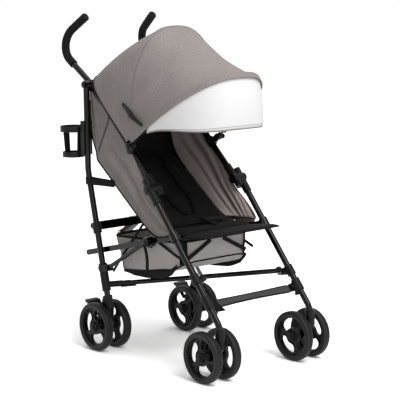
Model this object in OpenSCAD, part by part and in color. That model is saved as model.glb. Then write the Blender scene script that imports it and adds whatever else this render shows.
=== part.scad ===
// Umbrella stroller with twin wheels, a folding side-by-side frame, a sling seat and a sun canopy.
// Front faces -Y, up is +Z, and the child's left is +X. The origin is on the floor, under the middle.

/* [Wheels] */
// Outer radius of every wheel
wheel_r = 78; // [72:1:78]
// Width of the tyre tread
tyre_w = 28; // [24:1:30]
// Distance between the two wheels of one pair, centre to centre
pair_w = 74; // [73:1:80]
// Radius of the wheel axles
axle_r = 5; // [4:0.5:6]
// Number of bean-shaped windows in a wheel disc
wheel_windows = 3; // [3:1:5]

/* [Frame] */
// Half distance between the left and right leg tubes
leg_x = 188; // [184:1:196]
// Half distance between the two handle tubes
handle_x = 165; // [163:1:167]
// Outer diameter of the main tubes
tube_d = 20; // [18:0.5:20]
// Wall of the main tubes
tube_wall = 1.5; // [1:0.1:2]
// Place of the middle hinge, front to back
mid_y = -62; // [-66:1:-58]
// Height of the middle hinge
mid_z = 545; // [541:1:549]
// Place of the rear leg's top pivot, front to back
top_y = 254; // [251:1:257]
// Height of the rear leg's top pivot
top_z = 850; // [847:1:853]
// Height at which the rear leg bends forward
rear_bend_z = 575; // [565:1:590]
// Angle of the rear leg's lower part from the vertical
rear_rake = 12.7; // [12:0.1:13.5]
// Place of the front swivel axis, front to back
swivel_y = -376; // [-380:1:-372]
// How far a front axle trails its swivel axis
front_trail = 36; // [30:1:40]
// Place of the rear axle, front to back
rear_axle_y = 179; // [176:1:182]

/* [Handles] */
// Rise of the handle tube above the horizontal
handle_rise = 43.2; // [42.5:0.1:44]
// Rise of the handle tube behind the top bracket
neck_rise = 33; // [31:1:35]
// Bend radius of the grip
grip_bend_r = 60; // [52:1:66]
// How far the grip turns up and forward
grip_turn = 111.6; // [104:0.5:116]
// How far the grips lean towards each other
grip_lean = 10; // [6:1:14]
// Straight length at the end of the grip
grip_end = 74; // [60:1:80]
// Outer diameter of the foam grips
grip_d = 27; // [25:0.5:29]

/* [Folding links] */
// Diameter of the diagonal cross bars
bar_d = 16; // [14:0.5:16]
// Length of a diagonal cross bar from its pivot
bar_len = 500; // [490:1:504]
// Height of the cross bars at the front legs
bar_front_z = 284; // [282:1:288]
// Height of the cross bars at the rear legs
bar_rear_z = 222; // [220:1:226]
// Height between the two crossing bars
bar_step = 22; // [20:0.5:24]
// Height of the folding rear arms
arm_z = 391; // [388:1:394]
// Height of a rear arm's flat
arm_h = 28; // [24:1:30]
// Sheet thickness of a rear arm
arm_t = 6; // [5:0.5:6]
// Width of the side rail's flat bar
rail_h = 18; // [14:1:19]

/* [Seat] */
// Thickness of the seat cloth
cloth_t = 2.4; // [2:0.2:2.6]
// Half width of the seat pad
pad_x = 146; // [136:1:148]
// Half width of the back pad
back_x = 124; // [116:1:130]
// Thickness of the seat pad
seat_pad_t = 24; // [18:1:26]
// Thickness of the back pad
back_pad_t = 22; // [16:1:24]
// Length of the leg rest
leg_rest_len = 112; // [100:1:116]

/* [Basket] */
// Half width of the basket
basket_x = 150; // [140:1:154]
// Height of the basket's rim at the back
basket_top = 366; // [360:1:368]
// How much higher the basket's rim is at the front
basket_lift = 20; // [10:1:22]

/* [Canopy] */
// Half width of the canopy at its pivots
canopy_x = 193; // [191:1:193]
// Height of the canopy's arch over the pivot at the middle bow
canopy_mid_r = 363; // [350:1:370]
// Height of the canopy's arch over the pivot at the front bow
canopy_front_r = 376; // [370:1:380]
// Angle of the front bow, from the back horizontal
front_bow_angle = 145; // [142:1:148]
// Angle that the sun visor reaches beyond the front bow
visor_angle = 24; // [18:1:27]

/* [Cup holder] */
// Inner radius of the cup holder's top ring
cup_r = 38; // [36:0.5:40]
// Height of the cup holder
cup_h = 100; // [90:1:106]

/* [Hidden] */
$fn = 48;
fit = 0.05;
seat_gap = 0.3;
bend_lap = 1;
bend_step = 0.03;
tube_r = tube_d / 2;
bar_r = bar_d / 2;

// Directions of the main tubes, seen from the side
handle_dir = [0, cos(handle_rise), sin(handle_rise)];
leg_rake = 39.7;
leg_dir = [0, -sin(leg_rake), -cos(leg_rake)];
neck_dir = [0, cos(neck_rise), sin(neck_rise)];
rear_dir = [0, -sin(rear_rake), -cos(rear_rake)];

// Main pivots on the left side
mid = [0, mid_y, mid_z];
top = [leg_x, top_y, top_z];
leg_mid = [leg_x, mid_y, mid_z];
handle_mid = [handle_x, mid_y, mid_z];
swivel = [leg_x, swivel_y, 0];
front_axle_at = [leg_x, swivel_y + front_trail, wheel_r];
rear_axle_at = [leg_x, rear_axle_y, wheel_r];
tube_overlap = 30;
leg_bend_r = 50;
leg_corner = (mid_y - swivel_y) / sin(leg_rake);
leg_tangent = leg_bend_r * tan(leg_rake / 2);
leg_end_z = 142;
foot_z = 232;
leg_corner_z = mid_z - leg_corner * cos(leg_rake);
rear_bend_r = 150;
rear_tangent = rear_bend_r * tan(rear_rake / 2);
rear_end_z = wheel_r + 66;
rear_leg_len = (rear_bend_z - rear_end_z) / cos(rear_rake);
rear_top_gap = 6;

function front_leg_at(z) = [leg_x, mid_y - (mid_z - z) * tan(leg_rake), z];
function rear_leg_at(z) = [leg_x, top_y - max(0, rear_bend_z - z) * tan(rear_rake), z];
function handle_at(z) = [handle_x, mid_y + (z - mid_z) / tan(handle_rise), z];

// Neck of the handle, where it leaves the straight tube
neck_z = top_z + 12;
neck_bend_r = 100;
neck_bend = handle_rise - neck_rise;
neck_tangent = neck_bend_r * tan(neck_bend / 2);
neck_len = 114;
handle_run = (neck_z - mid_z) / sin(handle_rise);
grip_lap = 26;
grip_gap = 0.15;
grip_shell = grip_d / 2 - tube_r - grip_gap;
cap_t = 6;

// Rear leg brackets
arm_back = 36;
arm_pivot_x = leg_x - 18;
arm_pivot = [arm_pivot_x, rear_leg_at(arm_z).y + arm_back, arm_z];
pin_r = 5;
small_pin_r = 4;
brace_front = 26;
brace_z = 268;
brace_foot = rear_leg_at(brace_z) + [0, -brace_front, 0];
rail_joint = [0, -38, 378];
rail_x = leg_x - tube_r - 9;
rail_t = 6;
rail_back = [0, 282, 300];
rail_slope = (rail_back.z - rail_joint.z) / (rail_back.y - rail_joint.y);
rail_front_z = 411;
rail_front = front_leg_at(rail_front_z);
joint_r = 8;

// Diagonal cross bars: the right-hand bar lies above the left-hand one
bar_inset = 28;
function bar_shift(upper) = [0, 0, upper ? bar_step / 2 : -bar_step / 2];
function bar_pivot(upper) =
    front_leg_at(bar_front_z) + [-bar_inset, 11, 0] + bar_shift(upper);
function bar_goal(upper) =
    rear_leg_at(bar_rear_z) + [-2 * leg_x, 0, 0] + bar_shift(upper);
function bar_dir(upper) =
    (bar_goal(upper) - bar_pivot(upper)) / norm(bar_goal(upper) - bar_pivot(upper));
folded_bar_dir = [0, 0.766, 0.643];
function bar_axis(upper) =
    cross(bar_dir(upper), folded_bar_dir) / norm(cross(bar_dir(upper), folded_bar_dir));
function flip(p) = [-p.x, p.y, p.z];
function bar_tip(upper) = flip(bar_pivot(upper) + bar_dir(upper) * bar_len);
bar_eye_r = 11;
bar_start = 6;
bar_eye_l = 18;
saddle_len = 34;
saddle_wall = 4;
stub_gap = 7;

// Canopy arches: every point is on a plane through the pivot axis
canopy_axis = [0, 34, 672];
clip_drop = 18;
rear_edge_angle = 42;
mid_bow_angle = 90;
canopy_rear_r = 314;
arch_power = 2.5;
rear_power = 5.5;
front_sag = 60;
rear_sag = 22;
cloth_r = 3;
function arch_r(a) = a < mid_bow_angle
    ? canopy_rear_r + (canopy_mid_r - canopy_rear_r) * (a - rear_edge_angle)
        / (mid_bow_angle - rear_edge_angle)
    : canopy_mid_r + (canopy_front_r - canopy_mid_r) * (a - mid_bow_angle)
        / (front_bow_angle - mid_bow_angle);
function sag(a, lo, hi, depth) = depth * pow(sin(180 * (a - lo) / (hi - lo)), 0.8);
function cloth_at(a, lo, hi, depth) = arch_r(a) - sag(a, lo, hi, depth);
function arch_n(a) = a < mid_bow_angle
    ? rear_power + (arch_power - rear_power) * (a - rear_edge_angle) / (mid_bow_angle - rear_edge_angle)
    : arch_power;
function arch(a, t, r, w) =
    let (n = arch_n(a), reach = pow(pow(abs(cos(t)), n) + pow(sin(t), n), -1 / n), rise = r * reach * sin(t))
    [-w * reach * cos(t), canopy_axis.y + rise * cos(a), canopy_axis.z + rise * sin(a)];
bow_back = 3;
bow_inset = 12;
rear_eye_x = canopy_x - 8;
front_eye_x = rear_eye_x - 4.5;
arch_steps = 30;
arch_low = 6;
function arch_t(i, low) = low + (180 - 2 * low) * i / arch_steps;

// Puts its children on the child's left, or mirrored on the right
module on_side(right) {
    if (right) mirror([1, 0, 0]) children();
    else children();
}

// Turns the Z axis of its children into a direction from a point
module aim(from, dir) {
    translate(from)
        rotate([0, acos(dir.z / norm(dir)), atan2(dir.y, dir.x)])
            children();
}

// A round rod between two points
module rod(from, to, r) {
    aim(from, to - from) cylinder(r = r, h = norm(to - from));
}

// A round rod along X, from one place across to another
module cross_rod(at, x0, x1, r) {
    translate([x0, at.y, at.z]) rotate([0, 90, 0]) cylinder(r = r, h = x1 - x0);
}

// A round rod that goes on from the current place: each step is [straight, twist, bend, bend radius]
module rod_run(steps, r, i = 0) {
    if (i < len(steps)) {
        straight = steps[i][0];
        twist = steps[i][1];
        bend = steps[i][2];
        bend_r = steps[i][3];
        cylinder(r = r, h = straight);
        translate([0, 0, straight]) rotate([0, 0, twist]) {
            if (bend > 0) {
                lap = bend_lap / bend_r * 180 / PI;
                translate([bend_r, 0, 0]) rotate([90, 0, 0]) rotate([0, 0, 180 - bend - lap])
                    rotate_extrude(angle = bend + 2 * lap) translate([bend_r, 0]) circle(r - bend_step);
            }
            translate([bend_r, 0, 0]) rotate([0, bend, 0]) translate([-bend_r, 0, 0])
                rod_run(steps, r, i + 1);
        }
    }
}

// A bent tube with open ends
module tube_run(steps, r, wall) {
    difference() {
        union() rod_run(steps, r);
        union() rod_run(steps, r - wall);
    }
}

// The room that a straight tube takes up, for the holes of its collars
module tube_room(from, dir, before, after) {
    aim(from - dir * before, dir) cylinder(r = tube_r + fit, h = before + after);
}

// A collar round a straight tube
module collar(from, dir, before, after, r) {
    aim(from - dir * before, dir) cylinder(r = r, h = before + after);
}

// A closed skin between two sheets of points, each a list of rows
module skin(outer, inner) {
    rows = len(outer);
    cols = len(outer[0]);
    count = rows * cols;
    flat_points = concat([for (row = outer) each row], [for (row = inner) each row]);
    function at(i, j) = i * cols + j;
    top_faces = [
        for (i = [0 : rows - 2]) for (j = [0 : cols - 2])
            each [[at(i, j), at(i, j + 1), at(i + 1, j + 1)], [at(i, j), at(i + 1, j + 1), at(i + 1, j)]]
    ];
    bottom_faces = [for (f = top_faces) [f[0] + count, f[2] + count, f[1] + count]];
    edge = concat(
        [for (j = [0 : cols - 2]) at(0, j)],
        [for (i = [0 : rows - 2]) at(i, cols - 1)],
        [for (j = [cols - 1 : -1 : 1]) at(rows - 1, j)],
        [for (i = [rows - 1 : -1 : 1]) at(i, 0)]
    );
    edge_faces = [
        for (k = [0 : len(edge) - 1])
            let (a = edge[k], b = edge[(k + 1) % len(edge)])
            each [[b, a, a + count], [b, a + count, b + count]]
    ];
    polyhedron(flat_points, concat(top_faces, bottom_faces, edge_faces));
}

// A padded cushion, lying on Z = 0, with a crown, drawn-in sides and sewn channels across it
module pillow(half_w, length, thick, channels, cols = 20, rows = 24) {
    crown = 0.62;
    function swell(u) = pow(1 - pow(abs(u), 4), 0.5);
    function channel(v) = 1 - 0.28 * pow(abs(cos(180 * channels * v)), 10);
    function height(u, v) =
        thick * (1 - crown + crown * swell(u) * swell(2 * v - 1) * channel(v));
    function pull(u, v) = 1 - 0.012 * pow(abs(u), 6);
    upper = [for (j = [0 : rows]) [for (i = [0 : cols])
        let (u = 2 * i / cols - 1, v = j / rows)
        [u * half_w * pull(2 * v - 1, u), v * length, height(u, v)]]];
    lower = [for (j = [0 : rows]) [for (i = [0 : cols])
        let (u = 2 * i / cols - 1, v = j / rows)
        [u * half_w * pull(2 * v - 1, u), v * length, 0]]];
    skin(lower, upper);
}

// A round tube of a few sides swept through points that lie on one smooth line
module swept(points, r, sides = 8) {
    n = len(points);
    function heading(i) =
        let (d = points[min(i + 1, n - 1)] - points[max(i - 1, 0)]) d / norm(d);
    function ring(i) =
        let (h = heading(i), side = cross(h, [0, 0.3, 1]), a = side / norm(side), b = cross(h, a))
        [for (k = [0 : sides - 1]) points[i] + r * (a * cos(360 * k / sides) + b * sin(360 * k / sides))];
    all = [for (i = [0 : n - 1]) each ring(i)];
    walls = [
        for (i = [0 : n - 2]) for (k = [0 : sides - 1])
            let (p = i * sides + k, q = i * sides + (k + 1) % sides)
            each [[p, q + sides, q], [p, p + sides, q + sides]]
    ];
    ends = concat(
        [for (k = [1 : sides - 2]) [0, k, k + 1]],
        [for (k = [1 : sides - 2]) [(n - 1) * sides, (n - 1) * sides + k + 1, (n - 1) * sides + k]]
    );
    polyhedron(all, concat(walls, ends));
}

// Handle tube, from the middle hinge up to the end of the grip
module handle_steps(r, wall) {
    aim(handle_mid - handle_dir * tube_overlap, handle_dir)
        tube_run([
            [tube_overlap + handle_run - neck_tangent, 0, neck_bend, neck_bend_r],
            [neck_len - neck_tangent, 180 - grip_lean, grip_turn, grip_bend_r],
            [grip_end - cap_t, 0, 0, 0]
        ], r, wall);
}

module handle_tube() {
    color("#1c1c1e") handle_steps(tube_r, tube_wall);
}

// Foam grip with a rounded end cap
module grip() {
    start = handle_at(neck_z) + neck_dir * (neck_len - grip_lap);
    color("#2a2a2c") aim(start, neck_dir) {
        tube_run([
            [grip_lap, 180 - grip_lean, grip_turn, grip_bend_r],
            [grip_end - cap_t, 0, 0, 0]
        ], grip_d / 2, grip_shell);
        translate([0, 0, grip_lap]) rotate([0, 0, 180 - grip_lean])
            translate([grip_bend_r, 0, 0]) rotate([0, grip_turn, 0]) translate([-grip_bend_r, 0, 0])
                translate([0, 0, grip_end - cap_t]) grip_cap();
    }
}

// Rounded cap that closes the end of a grip
module grip_cap() {
    rotate_extrude() {
        square([grip_d / 2 - cap_t / 2, cap_t]);
        square([grip_d / 2, cap_t / 2]);
        translate([grip_d / 2 - cap_t / 2, cap_t / 2]) circle(cap_t / 2);
    }
}

// Lower front leg, from above the middle hinge down to the swivel
module front_leg_path() {
    aim(leg_mid - leg_dir * tube_overlap, leg_dir) children();
}

front_leg_steps = [
    [tube_overlap + leg_corner - leg_tangent, 0, leg_rake, leg_bend_r],
    [leg_corner_z - leg_tangent - leg_end_z, 0, 0, 0]
];

module front_leg() {
    color("#1c1c1e") front_leg_path() tube_run(front_leg_steps, tube_r, tube_wall);
}

// Moulded housing that joins the handle tube to the front leg
module mid_hinge() {
    wall = 3.5;
    hinge_r = tube_r + wall;
    sleeve = 54;
    end_cap = 3;
    x0 = handle_x - tube_r - wall;
    x1 = leg_x + tube_r + wall;
    color("#28282a") difference() {
        union() {
            cross_rod(mid, x0, x1, hinge_r + 2);
            collar(handle_mid, handle_dir, tube_overlap + end_cap, sleeve, hinge_r - 0.5);
            collar(leg_mid, leg_dir, tube_overlap + end_cap, sleeve, hinge_r - 0.5);
            cross_rod(mid, x1 - 1, x1 + 3, 8);
        }
        tube_room(handle_mid, handle_dir, tube_overlap + 1, 2 * sleeve);
        tube_room(leg_mid, leg_dir, tube_overlap + 1, 2 * sleeve);
    }
}

// Bracket at the top of the rear leg, round the handle tube
module top_bracket() {
    at = handle_at(top_z);
    color("#28282a") difference() {
        union() {
            difference() {
                union() {
                    collar(at, handle_dir, 26, 6, tube_r + 5);
                    hull() {
                        translate([handle_x, at.y - 6, at.z - 4]) rotate([0, 90, 0]) cylinder(r = 15, h = 8);
                        cross_rod(top, leg_x - 13, leg_x - 10, 15);
                    }
                }
                cross_rod(top, leg_x - tube_r - seat_gap, leg_x + tube_r, 40);
            }
            cross_rod(top, leg_x - 12, leg_x + 12, pin_r);
            cross_rod(top, leg_x + 10.3, leg_x + 14, 9);
        }
        tube_room(at, handle_dir, 80, 40);
    }
}

// Clip on the handle tube that carries the canopy's pivot
module canopy_clip() {
    pivot = canopy_axis;
    at = handle_at(canopy_axis.z - clip_drop);
    half_l = 14;
    arm_r = 11;
    arm_end = handle_x + 13;
    pin_end = canopy_x + 5;
    head_r = 8;
    color("#222224") difference() {
        union() {
            collar(at, handle_dir, half_l, half_l, tube_r + 4);
            hull() {
                cross_rod(at, handle_x + 4, arm_end, arm_r);
                cross_rod(pivot, handle_x + 8, arm_end, arm_r);
            }
            cross_rod(pivot, handle_x + 10, pin_end, pin_r);
            cross_rod(pivot, pin_end - 1, pin_end + 3, head_r);
        }
        tube_room(at, handle_dir, 4 * half_l, 4 * half_l);
    }
}

// Plastic clamps on the front leg: cross bar pivot, footrest end and swivel housing
module front_leg_clamps(upper) {
    pivot = bar_pivot(upper);
    hinge = bar_axis(upper);
    at = front_leg_at(pivot.z);
    foot_at = front_leg_at(foot_z);
    ear = bar_eye_l / 2 + seat_gap;
    color("#28282a") {
        difference() {
            union() {
                difference() {
                    union() {
                        collar(at, leg_dir, 16, 16, tube_r + 4);
                        hull() {
                            collar(at, leg_dir, 9, 9, tube_r + 2);
                            aim(pivot + hinge * (ear - 0.5), hinge) cylinder(r = bar_eye_r - 1, h = 6.5);
                        }
                    }
                    aim(pivot - hinge * ear, hinge) cylinder(r = bar_eye_r + 1, h = 2 * ear);
                }
                aim(pivot - hinge * (ear + 1), hinge) cylinder(r = small_pin_r, h = 2 * ear + 3);
                aim(pivot - hinge * (ear + 3), hinge) cylinder(r = 7, h = 3);
            }
            tube_room(at, leg_dir, 40, 40);
        }
        difference() {
            union() {
                collar(foot_at, leg_dir, 20, 20, tube_r + 4);
                hull() {
                    collar(foot_at, leg_dir, 12, 12, tube_r + 2);
                    translate([leg_x - 30, foot_at.y + 4, foot_at.z - 8]) cube([6, 26, 16], center = true);
                }
            }
            tube_room(foot_at, leg_dir, 60, 60);
        }
        difference() {
            translate([leg_x, swivel_y, 128]) cylinder(r = tube_r + 5, h = 34);
            front_leg_path() rod_run(front_leg_steps, tube_r + fit);
            translate([leg_x, swivel_y, 120]) cylinder(r = axle_r + 1 + fit, h = 40);
        }
    }
}

// Flat side rail under the seat, clamped to the front leg, with the stub that holds the side brace
module seat_rail() {
    along = [0, 1, rail_slope] / norm([0, 1, rail_slope]);
    length = norm(rail_back - rail_joint);
    front_len = norm([0, rail_front.y - rail_joint.y, rail_front.z - rail_joint.z]);
    color("#222224") difference() {
        union() {
            translate([rail_x, 0, 0]) translate(rail_joint)
                rotate([atan(rail_slope), 0, 0]) translate([0, -front_len, -rail_h / 2])
                    cube([rail_t, front_len + length, rail_h]);
            cross_rod(rail_back, rail_x, rail_x + rail_t, rail_h / 2);
            collar(rail_front, leg_dir, 15, 15, tube_r + 4);
            cross_rod(rail_front, rail_x, leg_x, rail_h / 2);
            cross_rod(rail_joint, rail_x - 6, rail_x + rail_t, 17);
            cross_rod(rail_joint, rail_x, leg_x + 9, joint_r);
        }
        tube_room(rail_front, leg_dir, 60, 60);
    }
}

// Rear leg with its pivot eye at the top
module rear_leg() {
    eye_r = 13;
    color("#1c1c1e") difference() {
        union() {
            translate([leg_x, top_y, top_z - rear_top_gap]) rotate([180, 0, 0]) rotate([0, 0, 90])
                tube_run([
                    [top_z - rear_top_gap - rear_bend_z - rear_tangent, 0, rear_rake, rear_bend_r],
                    [rear_leg_len - rear_tangent, 0, 0, 0]
                ], tube_r, tube_wall);
            cross_rod(top, leg_x - 8, leg_x + 9, eye_r);
        }
        cross_rod(top, leg_x - 30, leg_x + 30, pin_r + fit);
    }
}

// Moulded housing between the two rear wheels
module rear_wheel_housing() {
    sleeve = 24;
    low = rear_leg_at(rear_end_z + sleeve);
    stop = rear_leg_at(rear_end_z);
    color("#28282a") difference() {
        union() {
            hull() {
                aim(stop + rear_dir * 6, -rear_dir) cylinder(r = tube_r + 5, h = 40);
                cross_rod(rear_axle_at, leg_x - 17, leg_x + 17, 19);
            }
            aim(stop, -rear_dir) cylinder(r = tube_r + 4, h = norm(low - stop) + 6);
            cross_rod(rear_axle_at, leg_x - pair_w / 2 + 15.5, leg_x + pair_w / 2 - 15.5, 12);
        }
        aim(stop + rear_dir * seat_gap, -rear_dir) cylinder(r = tube_r + fit, h = 120);
        cross_rod(rear_axle_at, leg_x - 60, leg_x + 60, axle_r + fit);
        cross_rod(brake_at(), leg_x - 60, leg_x + 60, small_pin_r + fit);
    }
}

function brake_at() = rear_axle_at + [0, 26, 34];

// Clamps on the rear leg: brace pivot and cross bar saddle below, folding arm bracket above
module rear_leg_brackets(bar_above) {
    clamp_z = 250;
    at = rear_leg_at(clamp_z);
    arm_at = rear_leg_at(arm_z);
    bar_toward = flip(bar_dir(bar_above));
    saddle_from = bar_tip(bar_above) - bar_toward * saddle_len;
    stub_from = bar_tip(bar_above) + bar_toward * stub_gap;
    stub_len = norm(bar_goal(bar_above) - bar_pivot(bar_above)) - bar_len - stub_gap;
    arm_face = arm_pivot.y - arm_t - seat_gap;
    color("#28282a") {
        difference() {
            union() {
                collar(at, rear_dir, 30, 60, tube_r + 4);
                for (x = [leg_x - 13, leg_x + 8.6])
                    hull() {
                        cross_rod(brace_foot, x, x + 4, 11);
                        cross_rod(rear_leg_at(brace_z - 4), x, x + 4, 11);
                    }
                cross_rod(brace_foot, leg_x - 13, leg_x + 12.6, pin_r);
                aim(saddle_from, bar_toward) rotate([0, 0, -60])
                    rotate_extrude(angle = 120) translate([bar_r + seat_gap, 0])
                        square([saddle_wall, saddle_len + 2 * stub_gap]);
                aim(stub_from, bar_toward) cylinder(r = bar_r + saddle_wall / 2, h = stub_len);
            }
            tube_room(at, rear_dir, 80, 90);
        }
        difference() {
            union() {
                collar(arm_at, rear_dir, 17, 17, tube_r + 4);
                hull() {
                    collar(arm_at, rear_dir, 12, 12, tube_r + 2);
                    translate([arm_pivot.x, arm_face - 4, arm_pivot.z]) rotate([-90, 0, 0])
                        cylinder(r = 12, h = 4);
                }
                translate([arm_pivot.x, arm_face - 2, arm_pivot.z]) rotate([-90, 0, 0])
                    cylinder(r = pin_r, h = 2 * arm_t + 6);
                translate([arm_pivot.x, arm_pivot.y + arm_t + 1, arm_pivot.z]) rotate([-90, 0, 0])
                    cylinder(r = 10, h = 4);
            }
            tube_room(arm_at, rear_dir, 60, 60);
        }
    }
}

// Diagonal cross bar, pinned at its own front leg and resting on the far rear leg
module cross_bar(upper) {
    pivot = bar_pivot(upper);
    hinge = bar_axis(upper);
    dir = bar_dir(upper);
    color("#1c1c1e") difference() {
        union() {
            aim(pivot - hinge * bar_eye_l / 2, hinge) cylinder(r = bar_eye_r, h = bar_eye_l);
            aim(pivot + dir * bar_start, dir) cylinder(r = bar_r, h = bar_len - bar_start);
        }
        aim(pivot + dir * 2 * bar_eye_r, dir) cylinder(r = bar_r - tube_wall, h = bar_len);
        aim(pivot - hinge * bar_eye_l, hinge) cylinder(r = small_pin_r + fit, h = 2 * bar_eye_l);
    }
}

// Side brace, pinned in front of the rear leg, with a hook that sits on the side rail's stub
module side_brace() {
    joint = [leg_x, rail_joint.y, rail_joint.z];
    half_t = 7;
    color("#222224") difference() {
        union() {
            rod(brace_foot, joint, bar_r - 1.5);
            cross_rod(brace_foot, leg_x - half_t, leg_x + half_t, 11);
            cross_rod(joint, leg_x - half_t, leg_x + half_t, joint_r + 7);
        }
        cross_rod(brace_foot, leg_x - 30, leg_x + 30, pin_r + fit);
        cross_rod(joint, leg_x - 30, leg_x + 30, joint_r + seat_gap);
        translate([leg_x - 30, joint.y - 2 * joint_r, joint.z - 40])
            cube([60, 3 * joint_r + seat_gap, 40]);
    }
}

// Folding rear arm, a pressed flat with rounded ends; the two arms lap at the middle
module rear_arm(behind) {
    lap = 20;
    y0 = arm_pivot.y + (behind ? seat_gap : -arm_t);
    color("#222224") translate([0, y0, arm_z]) rotate([-90, 0, 0]) difference() {
        union() {
            translate([-lap, -arm_h / 2, 0]) cube([arm_pivot.x + lap, arm_h, arm_t]);
            for (x = [-lap, arm_pivot.x]) translate([x, 0, 0]) cylinder(r = arm_h / 2, h = arm_t);
        }
        translate([arm_pivot.x, 0, -1]) cylinder(r = pin_r + fit, h = arm_t + 2);
        translate([28, -arm_h / 4, behind ? arm_t - 1.5 : -1])
            cube([arm_pivot.x - 28 - arm_h, arm_h / 2, 2.5]);
    }
}

// Foot pedal that frees the fold, hinged behind the rear arm
pedal_hinge = [26, arm_pivot.y + arm_t + seat_gap + 12, arm_z - 4];
pedal_drop = 34;
pedal_len = 92;
module fold_pedal() {
    dir = [0, cos(pedal_drop), -sin(pedal_drop)];
    tip = pedal_hinge + dir * pedal_len;
    color("#8c8c8e") difference() {
        union() {
            hull() {
                cross_rod(pedal_hinge, 15, 37, 9);
                cross_rod(tip, 8, 44, 7);
            }
            cross_rod(tip, 2, 50, 10);
        }
        cross_rod(pedal_hinge, 0, 60, small_pin_r + fit);
    }
}

// Lugs and pin on the rear arm that carry the foot pedal
module pedal_lugs() {
    y0 = arm_pivot.y + seat_gap + arm_t - 1;
    for (x = [8, 38.6])
        hull() {
            cross_rod(pedal_hinge, x, x + 5, 8);
            translate([x, y0, pedal_hinge.z - 8]) cube([5, 1, 16]);
        }
    cross_rod(pedal_hinge, 8, 43.6, small_pin_r);
}

// Swivel fork between two front wheels
module caster_fork() {
    crown_z = 128 - seat_gap;
    color("#28282a") difference() {
        union() {
            translate([leg_x, swivel_y, crown_z - 14]) cylinder(r = tube_r + 5, h = 14);
            hull() {
                translate([leg_x, swivel_y, crown_z - 24]) cylinder(r = 12, h = 16);
                cross_rod(front_axle_at, leg_x - 12, leg_x + 12, 17);
            }
            translate([leg_x, swivel_y, crown_z - 4]) cylinder(r = axle_r + 1, h = 16);
            cross_rod(front_axle_at, leg_x - pair_w / 2 + 15.5, leg_x + pair_w / 2 - 15.5, 11);
        }
        cross_rod(front_axle_at, leg_x - 60, leg_x + 60, axle_r + fit);
    }
}

// Axle with a cap at each end
module axle(at) {
    half = pair_w / 2 + 15.5;
    color("#b8b8ba") {
        cross_rod(at, leg_x - half - 1, leg_x + half + 1, axle_r);
        for (x = [leg_x - half - 4, leg_x + half]) cross_rod(at, x, x + 4, 9);
    }
}

// A wheel with a rounded tyre, a stepped disc, bean windows and small holes
module wheel(at, side) {
    hub_half = 15;
    rim_r = wheel_r - 14;
    round_r = 9;
    window_r = rim_r - 24;
    window_half = 13;
    window_span = 360 / wheel_windows - 62;
    translate([leg_x + side * pair_w / 2, at.y, at.z]) rotate([0, 90, 0]) color("#2d2d2d") difference() {
        rotate_extrude() {
            translate([rim_r - 5, -tyre_w / 2 + 3]) square([12, tyre_w - 6]);
            translate([rim_r, -tyre_w / 2]) square([wheel_r - rim_r - round_r, tyre_w]);
            translate([wheel_r - round_r - 1, -tyre_w / 2 + round_r])
                square([round_r + 1, tyre_w - 2 * round_r]);
            for (z = [-1, 1])
                translate([wheel_r - round_r, z * (tyre_w / 2 - round_r)]) circle(round_r);
            translate([axle_r + fit, -hub_half]) square([12, 2 * hub_half]);
            translate([axle_r + fit, -5]) square([rim_r - axle_r - 2, 10]);
        }
        for (k = [0 : wheel_windows - 1]) rotate([0, 0, k * 360 / wheel_windows]) {
            rotate_extrude(angle = window_span)
                translate([window_r - window_half, -20]) square([2 * window_half, 40]);
            for (a = [0, window_span]) rotate([0, 0, a])
                translate([window_r, 0, -20]) cylinder(r = window_half - 0.4, h = 40);
            rotate([0, 0, window_span + 31]) translate([window_r + 8, 0, -20]) cylinder(r = 3.5, h = 40);
        }
    }
}

// Foot lever of the rear brake, on a pin through the wheel housing
module brake_pedal() {
    at = brake_at();
    tip = at + [0, 34, 34];
    plate_from = 0.6;
    color("#28282a") {
        cross_rod(at, leg_x - 20, leg_x + 20, small_pin_r);
        for (x = [leg_x - 21.6, leg_x + 17.6])
            hull() {
                cross_rod(at, x, x + 4, 7);
                cross_rod(tip, x, x + 4, 5);
            }
        hull() {
            cross_rod(at + (tip - at) * plate_from, leg_x - 21, leg_x + 21, 4);
            cross_rod(tip, leg_x - 24, leg_x + 24, 5);
            cross_rod(tip + [0, 14, 3], leg_x - 22, leg_x + 22, 4);
        }
    }
}

// Open cup holder of two rings joined by two wide straps, clipped behind the right rear leg
cup_y = 68;
module cup_holder() {
    base_z = 614;
    leg_back = rear_leg_at(base_z + cup_h / 2);
    at = [leg_x + 6, leg_back.y + cup_y, base_z];
    ring_t = 4;
    low_r = cup_r - 6;
    top_h = 18;
    low_h = 16;
    floor_t = 3;
    strap_span = 34;
    strap = [
        [low_r, low_h - 2], [low_r + ring_t - 0.5, low_h - 2],
        [cup_r + ring_t - 0.5, cup_h - top_h + 2], [cup_r + 1, cup_h - top_h + 2]
    ];
    clip_x = 15;
    clip_from = 12;
    lip = 1;
    clip_h = cup_h + 8;
    color("#1e1e20") difference() {
        union() {
            translate(at) {
                translate([0, 0, cup_h - top_h]) cylinder(r = cup_r + ring_t, h = top_h);
                cylinder(r = low_r + ring_t, h = low_h);
                for (a = [90, 270]) rotate([0, 0, a - strap_span / 2])
                    rotate_extrude(angle = strap_span) polygon(strap);
            }
            translate([leg_x - clip_x / 2, leg_back.y + tube_r - 3, base_z + clip_from])
                cube([clip_x, cup_y - tube_r - cup_r + 6, clip_h - 10]);
            translate([leg_x - 16, leg_back.y - 4, base_z + clip_from]) cube([32, tube_r + 9, clip_h]);
        }
        translate(at + [0, 0, cup_h - top_h - 1]) cylinder(r = cup_r, h = top_h + 2);
        translate(at + [0, 0, cup_h - lip]) cylinder(r = cup_r + 2, h = clip_h);
        translate(at + [0, 0, floor_t]) cylinder(r = low_r, h = cup_h);
        translate([leg_x, leg_back.y, base_z]) cylinder(r = tube_r + fit, h = 2 * cup_h);
    }
}

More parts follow.
